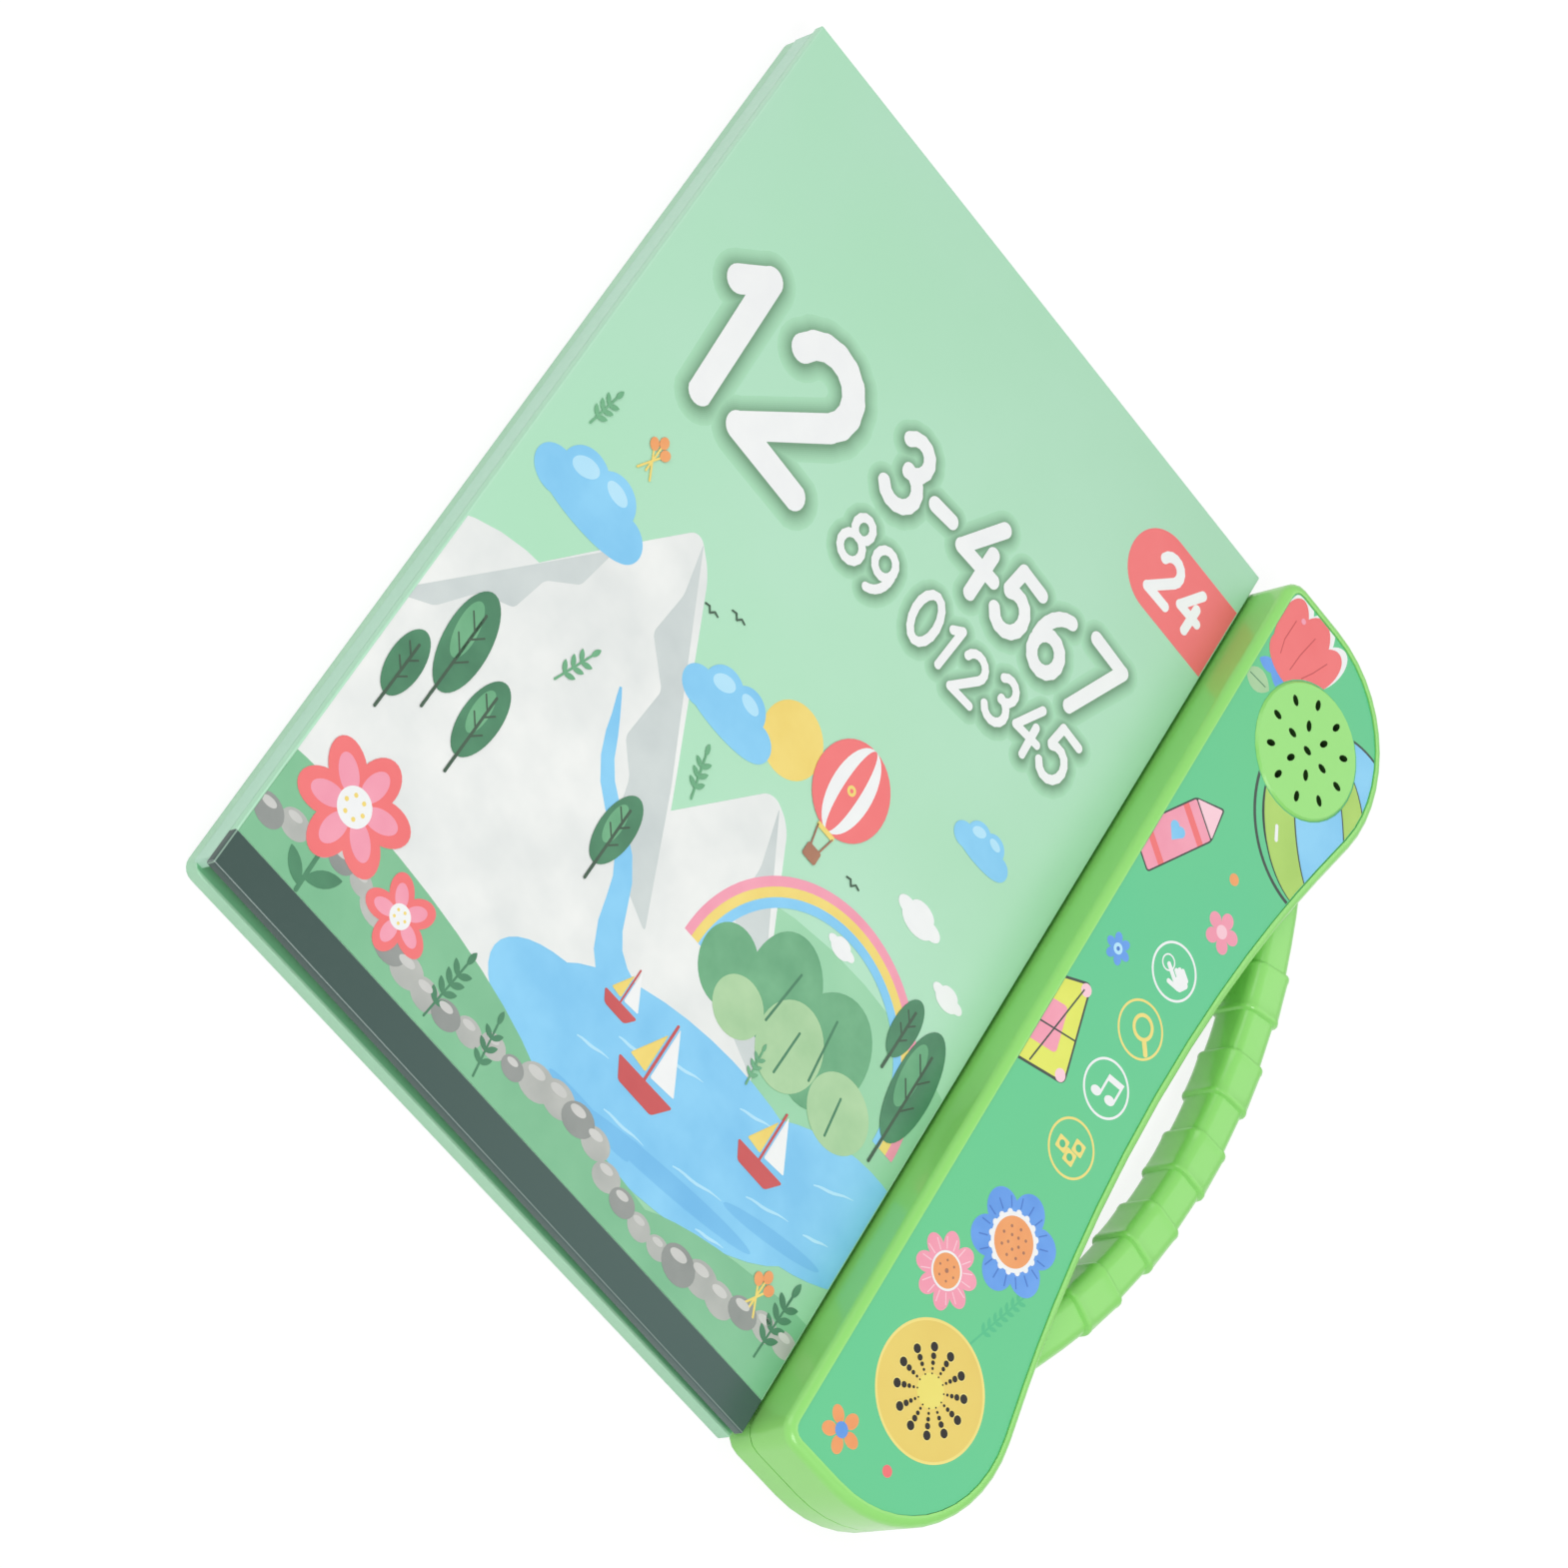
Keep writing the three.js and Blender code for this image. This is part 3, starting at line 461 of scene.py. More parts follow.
def leaf_edge_material():
    """Cut edges of thick card leaves, ruled by the sheets."""
    made, tree, shader = new_material("leaf_edges")
    point = object_point(tree)
    sheets = node(tree, "ShaderNodeTexWave",
                  {"Vector": point, "Scale": 900.0, "Distortion": 0.6, "Detail": 1.0},
                  wave_type="BANDS", bands_direction="Z").outputs["Fac"]
    colour = blend_colour(tree, sheets, linear(196, 198, 188), linear(240, 239, 231))
    tree.links.new(colour, shader.inputs["Base Color"])
    shader.inputs["Roughness"].default_value = 0.75
    bump = node(tree, "ShaderNodeBump", {"Height": sheets, "Strength": 0.3, "Distance": 0.1 * MM})
    tree.links.new(bump.outputs["Normal"], shader.inputs["Normal"])
    return made


def leaves():
    """The block of card leaves: ruled edges, and a coated face on the first page."""
    piece = dressed("page_block", "leaves", leaf_edge_material(), "book_and_bar", 0.12 * MM)
    face = surface("page_face", (250, 247, 226), (246, 243, 220), 0.32, grain=300.0, height=0.0,
                   patch=20.0, spread=0.03)
    piece.data.materials.append(face)
    for polygon in piece.data.polygons:
        polygon.material_index = 1 if abs(polygon.normal.z) > 0.7 else 0
    return piece


front_cover()
spine_wall()
dressed("back_board", "back_cover", lined_board_material(), "book_and_bar", 0.3 * MM)
leaves()


# Prints: thin inked shapes laid on the cover and on the bar's panel.

def cover_lift(x):
    """Height of the tilted cover's top face at a place across it."""
    share = (x - SPINE_X) / COVER_WIDTH
    return SPINE_TOP + share * (FORE_TOP - SPINE_TOP)


def panel_lift(x):
    """Height of the panel's face, which is level all over."""
    return PANEL_TOP


def edit(piece, mode="VERT"):
    """Enter edit mode on a shape, in one kind of selection."""
    only(piece)
    bpy.ops.object.mode_set(mode="EDIT")
    bpy.ops.mesh.select_mode(type=mode)
    bpy.ops.mesh.select_all(action="SELECT")


def leave_edit():
    """Go back from edit mode to object mode."""
    bpy.ops.object.mode_set(mode="OBJECT")


DISCS = {}


def fresh_disc(sides):
    """A flat disc, modelled once for each number of corners and then copied."""
    if sides not in DISCS:
        deselect()
        bpy.ops.mesh.primitive_circle_add(vertices=sides, radius=1.0, fill_type="NGON")
        first = bpy.context.object
        DISCS[sides] = first.data.copy()
        bpy.data.objects.remove(first)
    shape = bpy.data.objects.new("shape", DISCS[sides].copy())
    bpy.context.scene.collection.objects.link(shape)
    return shape


def plate(points, corner=0.0):
    """A flat shape whose corners are dragged to the given places, then rounded."""
    shape = fresh_disc(len(points))
    for vertex, (x, y) in zip(shape.data.vertices, points):
        vertex.co = place(x, y)
    if corner:
        edit(shape)
        bpy.ops.mesh.bevel(offset=corner * MM, segments=6, affect="VERTICES")
        leave_edit()
    return [shape]


def turned(points, x, y, angle):
    """The same outline turned about a point, angle in degrees."""
    c, s = math.cos(math.radians(angle)), math.sin(math.radians(angle))
    return [(x + c * (px - x) - s * (py - y), y + s * (px - x) + c * (py - y)) for px, py in points]


def block(x, y, wide, tall, angle=0.0, corner=0.0):
    """A flat rectangle round a centre, with corners that may be rounded."""
    corners = [(x - wide / 2, y - tall / 2), (x + wide / 2, y - tall / 2),
               (x + wide / 2, y + tall / 2), (x - wide / 2, y + tall / 2)]
    return plate(turned(corners, x, y, angle), corner)


def oval(x, y, wide, tall=None, turn=0.0, sides=40):
    """A flat ellipse round a centre."""
    shape = fresh_disc(sides)
    c, s = math.cos(math.radians(turn)), math.sin(math.radians(turn))
    for vertex in shape.data.vertices:
        across, up = vertex.co.x * wide, vertex.co.y * (tall or wide)
        vertex.co = place(x + c * across - s * up, y + s * across + c * up)
    return [shape]


def leaf(x, y, length, width, turn):
    """A pointed leaf whose stalk end is at the given place."""
    shape = fresh_disc(20)
    c, s = math.cos(math.radians(turn)), math.sin(math.radians(turn))
    for vertex in shape.data.vertices:
        across = (vertex.co.x + 1) * length / 2
        up = vertex.co.y * abs(vertex.co.y) ** 0.7 * width / 2
        vertex.co = place(x + c * across - s * up, y + s * across + c * up)
    return [shape]


def ring(x, y, outer, inner, sides=56, cuts=()):
    """A flat band round a centre: a bare circle, extruded outwards; cuts keep one side of a line."""
    deselect()
    bpy.ops.mesh.primitive_circle_add(vertices=sides, radius=inner * MM, fill_type="NOTHING",
                                      location=place(x, y))
    shape = bpy.context.object
    settle(shape)
    edit(shape, "EDGE")
    bpy.ops.mesh.extrude_edges_move()
    bpy.ops.transform.resize(value=(outer / inner, outer / inner, 1.0), center_override=place(x, y))
    for angle in cuts:
        bpy.ops.mesh.select_all(action="SELECT")
        away = Vector((math.cos(math.radians(angle)), math.sin(math.radians(angle)), 0.0))
        bpy.ops.mesh.bisect(plane_co=place(x, y), plane_no=away, clear_outer=True)
    leave_edit()
    return [shape]


def stroke(x0, y0, x1, y1, half):
    """A straight line of ink with round ends."""
    shape = fresh_disc(20)
    length = math.hypot(x1 - x0, y1 - y0) or 0.001
    c, s = (x1 - x0) / length, (y1 - y0) / length
    for vertex in shape.data.vertices:
        across = vertex.co.x * half + (length if vertex.co.x > 0.001 else 0.0)
        up = vertex.co.y * half
        vertex.co = place(x0 + c * across - s * up, y0 + s * across + c * up)
    return [shape]


def strokes(points, half):
    """Joined lines of ink through the points."""
    lines = []
    for (x0, y0), (x1, y1) in zip(points, points[1:]):
        lines += stroke(x0, y0, x1, y1, half)
    return lines


def ribbon(x, y, heading, half, steps):
    """A flat band drawn ahead in steps of (how far, how much turned, how much widened)."""
    ahead = math.radians(heading)
    back = 0.05
    shape = block(x, y, back, 2 * half, heading)[0]
    edit(shape, "EDGE")
    bpy.ops.mesh.select_all(action="DESELECT")
    mesh = bmesh.from_edit_mesh(shape.data)
    way = Vector((math.cos(ahead), math.sin(ahead), 0.0))
    for edge in mesh.edges:
        middle = (edge.verts[0].co + edge.verts[1].co) / 2 - place(x, y)
        edge.select_set(middle.dot(way) > 0.3 * back * MM)
    mesh.select_flush_mode()
    bmesh.update_edit_mesh(shape.data)
    at = place(x, y) + way * back * MM / 2
    for reach, turn, widen in steps:
        ahead += math.radians(turn) / 2
        move = Vector((math.cos(ahead), math.sin(ahead), 0.0)) * reach * MM
        ahead += math.radians(turn) / 2
        bpy.ops.mesh.extrude_edges_move(TRANSFORM_OT_translate={"value": move})
        at = at + move
        bpy.ops.transform.rotate(value=-math.radians(turn), orient_axis="Z", center_override=at)
        bpy.ops.transform.resize(value=(widen, widen, 1.0), center_override=at)
    leave_edit()
    return [shape]


def petals(x, y, count, reach, wide, tall, turn=0.0):
    """A ring of ovals that point out from a centre."""
    shapes = []
    for i in range(count):
        angle = turn + 360.0 * i / count
        along = math.radians(angle)
        shapes += oval(x + reach * math.cos(along), y + reach * math.sin(along), tall, wide, angle, 28)
    return shapes


def bend(x, y, wide, tall, start, end, count=9):
    """Points along part of an oval, angles in degrees."""
    steps = [math.radians(start + (end - start) * i / count) for i in range(count + 1)]
    return [(x + wide * math.cos(step), y + tall * math.sin(step)) for step in steps]


FIGURES = {
    "0": [bend(0, 0, 0.42, 0.74, 90, 450, 16)],
    "1": [[(-0.24, 0.48), (0.06, 0.75), (0.04, -0.75)]],
    "2": [bend(0, 0.36, 0.4, 0.38, 165, -38, 9) + [(-0.42, -0.72), (0.44, -0.7)]],
    "3": [bend(-0.02, 0.38, 0.36, 0.36, 145, -90, 9), bend(-0.02, -0.34, 0.42, 0.4, 90, -150, 10)],
    "4": [[(0.14, 0.75), (-0.44, -0.22), (0.46, -0.2)], [(0.2, 0.18), (0.18, -0.76)]],
    "5": [[(0.38, 0.72), (-0.28, 0.72), (-0.34, 0.12)], bend(-0.02, -0.26, 0.42, 0.46, 132, -145, 11)],
    "6": [bend(0.34, -0.16, 0.74, 0.92, 100, 178, 6), bend(0, -0.32, 0.4, 0.42, 175, 535, 14)],
    "7": [[(-0.42, 0.72), (0.42, 0.74), (-0.08, -0.76)]],
    "8": [bend(0, 0.38, 0.32, 0.35, -90, 270, 12), bend(0, -0.35, 0.41, 0.4, 90, 450, 14)],
    "9": [bend(-0.34, 0.16, 0.74, 0.92, -80, -2, 6), bend(0, 0.32, 0.4, 0.42, -5, 355, 14)],
}


def numeral(figure, x, y, tall, half, turn=0.0):
    """One plain figure, drawn with a round pen."""
    shapes = []
    for line in FIGURES[figure]:
        spots = [(x + px * tall / 1.5, y + py * tall / 1.5) for px, py in line]
        shapes += strokes(turned(spots, x, y, turn), half)
    return shapes


def face_up(piece):
    """Turn every face of a flat shape to look upwards."""
    mesh = bmesh.new()
    mesh.from_mesh(piece.data)
    for face in mesh.faces:
        if face.normal.z < 0:
            face.normal_flip()
    mesh.to_mesh(piece.data)
    mesh.free()


def ink(name, shapes, material, body, lift, layer, clip=(), trim=None):
    """Join flat shapes into one thin printed skin that lies on a surface."""
    for index, shape in enumerate(shapes):
        for vertex in shape.data.vertices:
            vertex.co.z = lift(vertex.co.x) + layer * PRINT_STEP + index % 29 * 0.0006 * MM
        if trim:
            face_up(shape)
            apply_modifier(shape, "SOLIDIFY", thickness=0.05 * MM, offset=-1.0)
            apply_modifier(shape, "BOOLEAN", operation="INTERSECT", object=trim, solver="EXACT")
    deselect()
    for shape in shapes:
        shape.select_set(True)
    bpy.context.view_layer.objects.active = shapes[0]
    if len(shapes) > 1:
        bpy.ops.object.join()
    piece = bpy.context.object
    piece.name = name
    if clip:
        edit(piece)
        for at, normal in clip:
            bpy.ops.mesh.select_all(action="SELECT")
            bpy.ops.mesh.bisect(plane_co=at, plane_no=normal, clear_outer=True)
        leave_edit()
    if not trim:
        face_up(piece)
        apply_modifier(piece, "SOLIDIFY", thickness=0.05 * MM, offset=-1.0)
    wear(piece, material)
    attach(piece, body)
    return piece


COVER_EDGES = (
    (place(0.5, 0), (-1, 0, 0)),
    (place(COVER_WIDTH / MM - 0.45, 0), (1, 0, 0)),
    (place(0, 8.6), (0, -1, 0)),
    (place(0, 249.4), (0, 1, 0)),
)


def on_cover(name, shapes, material, layer):
    """Ink shapes on the front cover."""
    return ink(name, shapes, material, "front_cover", cover_lift, layer, COVER_EDGES)


def panel_cutter():
    """A tall prism over the panel film, which trims the prints to its outline and grille hole."""
    source = bpy.data.objects["panel_overlay"]
    cutter = bpy.data.objects.new("panel_cutter", source.data.copy())
    bpy.context.scene.collection.objects.link(cutter)
    edit(cutter)
    bpy.ops.mesh.remove_doubles(threshold=0.002 * MM)
    bpy.ops.transform.resize(value=(1.0, 1.0, 8.0), center_override=(0, 0, (PANEL_LOW.z + PANEL_TOP) / 2))
    bpy.ops.mesh.select_all(action="SELECT")
    bpy.ops.mesh.normals_make_consistent(inside=False)
    leave_edit()
    return cutter


CUTTER = panel_cutter()


def on_panel(name, shapes, material, layer, trim=False):
    """Ink shapes on the sound bar's panel."""
    return ink(name, shapes, material, "book_and_bar", panel_lift, layer, (), CUTTER if trim else None)


def painted(name, light, dark, patch=120.0, rough=0.36, coat=0.0):
    """Printed ink with the soft brushy tone of a painted picture."""
    dark = dark or [value * 0.985 for value in light]
    return surface(name, light, dark, rough, grain=420.0, height=0.0, patch=patch, coat=coat, spread=0.03)


WHITE = painted("white_ink", (240, 242, 241), (236, 238, 238))
GROUND_PALE = painted("meadow_ink", (158, 214, 174), (146, 206, 164), 50.0)
MEADOW = painted("meadow_deep_ink", (130, 194, 150), (118, 184, 140), 60.0)
SNOW = painted("snow_ink", (238, 240, 237), (222, 226, 224), 60.0)
SNOW_SHADE = painted("snow_shade_ink", (208, 216, 214), (196, 205, 204), 80.0)
STONE = painted("stone_ink", (188, 190, 184), (166, 170, 165), 90.0)
STONE_DARK = painted("stone_dark_ink", (150, 154, 150), (134, 140, 136), 90.0)
STONE_LIGHT = painted("stone_light_ink", (206, 206, 202), (196, 197, 193), 100.0)
WATER = painted("water_ink", (138, 208, 244), (120, 194, 236), 70.0)
WATER_LIGHT = painted("water_light_ink", (182, 228, 248), (170, 222, 246), 70.0)
WATER_DEEP = painted("water_deep_ink", (118, 192, 236), (106, 182, 230), 70.0)
CORAL = painted("coral_ink", (241, 117, 117), (238, 110, 111), 60.0)
CORAL_DARK = painted("coral_dark_ink", (206, 84, 84), (196, 74, 76), 80.0)
PINK = painted("pink_ink", (243, 160, 180), (238, 148, 170), 90.0)
PINK_PALE = painted("pink_pale_ink", (248, 206, 216), (246, 198, 210), 90.0)
GREEN = painted("leaf_green_ink", (112, 178, 132), (92, 160, 116), 110.0)
GREEN_DEEP = painted("deep_green_ink", (74, 138, 100), (60, 120, 86), 110.0)
GREEN_PALE = painted("pale_leaf_ink", (176, 212, 164), (158, 200, 150), 110.0)
STALK = painted("stalk_ink", (62, 92, 70), (54, 82, 62), 110.0)
SUN = painted("sun_ink", (242, 218, 120), (236, 208, 104), 80.0)
ORANGE = painted("orange_ink", (240, 164, 100), (234, 150, 88), 110.0)
WOOD = painted("wood_ink", (176, 122, 92), (154, 102, 78), 110.0)
BLUE = painted("cornflower_ink", (102, 162, 236), (88, 148, 226), 110.0)
BLUE_DARK = painted("cornflower_dark_ink", (70, 124, 206), (62, 114, 196), 110.0)
OUTLINE = painted("outline_ink", (58, 74, 66), (50, 64, 58), 110.0)
DOT = painted("dot_ink", (34, 30, 24), (26, 22, 18), 110.0, 0.5)
YELLOW = painted("yellow_ink", (231, 206, 102), (228, 200, 96), 60.0)
YELLOW_PALE = painted("pale_yellow_ink", (240, 222, 130), (238, 218, 122), 90.0)
LIME_INK = painted("ball_green_ink", (176, 214, 104), (166, 206, 96), 90.0)
MIDDLE_YELLOW = painted("disc_middle_ink", (234, 222, 108), (232, 218, 104), 90.0)
LEMON = painted("lemon_ink", (226, 232, 96), (220, 226, 88), 90.0)
TEAL = painted("faint_sprig_ink", (78, 190, 136), (76, 187, 132), 90.0)
GLOW_STEPS = 9
GLOW = [
    painted("letter_glow_%d" % i, [w + (d - w) * (i / GLOW_STEPS) ** 1.5 for w,
                                   d in zip((168, 220, 184), (112, 158, 124))],
            None, 40.0)
    for i in range(1, GLOW_STEPS + 1)
]


def tree(x, y, tall, wide, lean=0.0):
    """A painted tree: tall crown, dark trunk and a few twigs."""
    crown = oval(x, y + tall * 0.6, wide / 2, tall * 0.42, lean)
    trunk = strokes([(x, y), (x + 0.2, y + tall * 0.85)], 0.35)
    for share, side in ((0.4, 1), (0.5, -1), (0.62, 1), (0.7, -1)):
        trunk += strokes([(x, y + tall * share), (x + side * wide * 0.24, y + tall * (share + 0.1))], 0.22)
    return crown, trunk


def sprig(x, y, tall, turn, count=4, size=3.0):
    """A stalk with pairs of leaves."""
    up = math.radians(turn)
    dx, dy = math.cos(up), math.sin(up)
    shapes = strokes([(x, y), (x + dx * tall, y + dy * tall)], 0.25)
    for i in range(count):
        share = 0.25 + 0.7 * i / count
        for side in (-1, 1):
            shapes += leaf(x + dx * tall * share, y + dy * tall * share, size, size * 0.42, turn + side * 48)
    shapes += leaf(x + dx * tall, y + dy * tall, size, size * 0.42, turn)
    return shapes


def title_numbers():
    """Figures where the title goes, each with a soft darker glow that fades outwards."""
    figures = [
        ("1", 24.0, 177.5, 33.0, 3.3, 3.0), ("2", 47.5, 178.5, 34.0, 3.3, -3.0),
        ("3", 76.0, 190.0, 17.0, 1.75, 5.0), ("4", 101.5, 191.5, 18.5, 1.85, 1.0),
        ("5", 115.0, 190.0, 15.5, 1.7, -3.0), ("6", 127.5, 191.0, 15.5, 1.7, 3.0),
        ("7", 141.0, 192.5, 18.0, 1.75, -4.0),
        ("8", 74.5, 168.0, 11.5, 1.05, -3.0), ("9", 83.5, 167.0, 11.0, 1.05, 4.0),
        ("0", 98.5, 168.5, 12.5, 1.1, 2.0), ("1", 107.0, 168.5, 11.0, 1.05, -4.0),
        ("2", 115.0, 167.5, 11.5, 1.05, 3.0), ("3", 124.5, 170.0, 11.5, 1.05, -2.0),
        ("4", 134.0, 171.0, 12.0, 1.05, 4.0), ("5", 143.5, 172.0, 13.0, 1.1, -3.0),
    ]
    for step, material in enumerate(GLOW, start=1):
        spread = 4.2 * (1 - step / (GLOW_STEPS + 1)) ** 1.15
        shapes = []
        for figure, x, y, tall, half, turn in figures:
            reach = spread * (0.55 + 0.45 * tall / 34.0)
            shapes += numeral(figure, x + 0.2, y - 0.3, tall, half + reach, turn)
        shapes += stroke(85.5, 190.2, 91.0, 190.8, 1.9 + spread * 0.7)
        on_cover("title_glow_%d" % step, shapes, material, step)
    shapes = stroke(85.5, 190.2, 91.0, 190.8, 1.9)
    for figure, x, y, tall, half, turn in figures:
        shapes += numeral(figure, x, y, tall, half, turn)
    on_cover("title_figures", shapes, WHITE, GLOW_STEPS + 1)


def cover_landscape():
    """The ground of a plain landscape: snowy hills, clouds, a stream, a lake and a stony shore."""
    on_cover("meadow_far", oval(20, 52, 70, 46, 4) + oval(140, 46, 74, 48, -6), GROUND_PALE, 1)
    on_cover("sun_disc", oval(88, 121, 8.5), SUN, 2)
    peaks = plate([(-20, 48), (92, 48), (72, 90), (51, 132), (44, 138), (34, 124), (12, 92)], 3.0)
    peaks += plate([(48, 40), (128, 46), (114, 76), (98, 106), (91, 109), (72, 84)], 3.0)
    peaks += oval(22, 62, 44, 40, 10) + oval(78, 48, 46, 38, -8)
    on_cover("snow_hills", peaks, SNOW, 3)
    shade = plate([(46, 136.5), (71, 90), (84, 62), (66, 70), (62, 84), (56, 90), (57, 104), (48, 112),
                   (49, 124)], 1.2)
    shade += plate([(94, 107.5), (113, 76), (122, 58), (107, 64), (105, 76), (98, 82), (98, 94)], 1.2)
    shade += plate([(31, 118.6), (18, 100.5), (-4, 70), (6, 76), (12, 86), (20, 90), (22, 100),
                    (29, 106)], 1.0)
    on_cover("snow_shade", shade, SNOW_SHADE, 4)
    clouds, shine = [], []
    for x, y, size in ((20, 121, 1.0), (72, 113, 0.85), (140, 140, 0.55)):
        for dx, dy, wide, tall in ((-10, -1, 6, 5), (-4, 3.4, 6.6, 6.2), (4, 4.6, 6.2, 6),
                                   (10.5, 0.2, 5.6, 5), (0, -3, 14, 3.4)):
            clouds += oval(x + dx * size, y + dy * size, wide * size, tall * size)
        shine += oval(x - 5 * size, y + 5 * size, 3.6 * size, 2.2 * size, 24)
        shine += oval(x + 4 * size, y + 6.6 * size, 3.2 * size, 1.8 * size, -6)
    on_cover("blue_clouds", clouds, WATER, 5)
    on_cover("cloud_shine", shine, WATER_LIGHT, 6)
    stream = ribbon(49, 97, -64, 0.3, [
        (2, 0, 2.1), (4, 0, 1.7), (4, -6, 1.5), (5, 10, 1.08), (5, 16, 1.08), (5, 12, 1.06), (5, 0,
                1.06), (5, -14, 1.08), (5, -18, 1.1),
        (5, -10, 1.12), (5, 6, 1.14), (5, 18, 1.14), (5, 20, 1.15), (5, 10, 1.15), (5, 4, 1.1),
    ])
    lake = oval(112, 38, 44, 19, 6) + oval(150, 48, 28, 15, 18) + oval(84, 32, 26, 12, -4) + stream
    on_cover("lake_water", lake, WATER, 5)
    waves = []
    for x, y, reach, turn in ((84, 34, 9, 2), (98, 27, 12, -4), (118, 30, 14, 3), (136, 38, 12, 8),
                              (104, 46, 10, 6),
                              (148, 52, 11, 16), (124, 51, 9, 8), (92, 41, 7, 0), (130, 24, 8, 4), (152,
                                      42, 7, 12)):
        waves += ribbon(x, y, turn + 18, 0.16, [
            (reach / 8, -8, 1.5), (reach / 8, -8, 1.3), (reach / 8, 2, 1.1), (reach / 8, 8, 1.0),
            (reach / 8, 6, 0.9), (reach / 8, -6, 0.75), (reach / 8, -8, 0.6), (reach / 8, 0, 0.4),
        ])
    on_cover("lake_ripples", waves, WATER_LIGHT, 7)
    deep = oval(118, 26.5, 26, 2.2, 7) + oval(96, 23.5, 13, 1.5, -2) + oval(146, 36, 14, 1.6, 12)
    on_cover("lake_depth", deep, WATER_DEEP, 6)
    shore = oval(30, 14, 62, 17, -3) + oval(150, 16, 40, 11, 8) + oval(88, 8, 60, 12, 0)
    on_cover("near_meadow", shore, MEADOW, 8)
    stones, dark_stones, glints = [], [], []
    random_steps = [((i * 37) % 17) / 17 for i in range(40)]
    for i in range(27):
        x = 3 + i * 6.1
        y = 16.5 + 3.2 * math.sin(i * 0.55) + 2.2 * random_steps[i]
        size = 2.3 + 1.6 * random_steps[(i * 5 + 3) % 40]
        target = stones if i % 3 else dark_stones
        target += oval(x, y, size * 1.3, size, 20 * random_steps[(i * 3) % 40] - 10, 22)
        glints += oval(x - 0.3 * size, y + 0.42 * size, size * 0.62, size * 0.3, 8)
    on_cover("shore_stones", stones, STONE, 9)
    on_cover("shore_stones_dark", dark_stones, STONE_DARK, 10)
    on_cover("stone_glints", glints, STONE_LIGHT, 11)


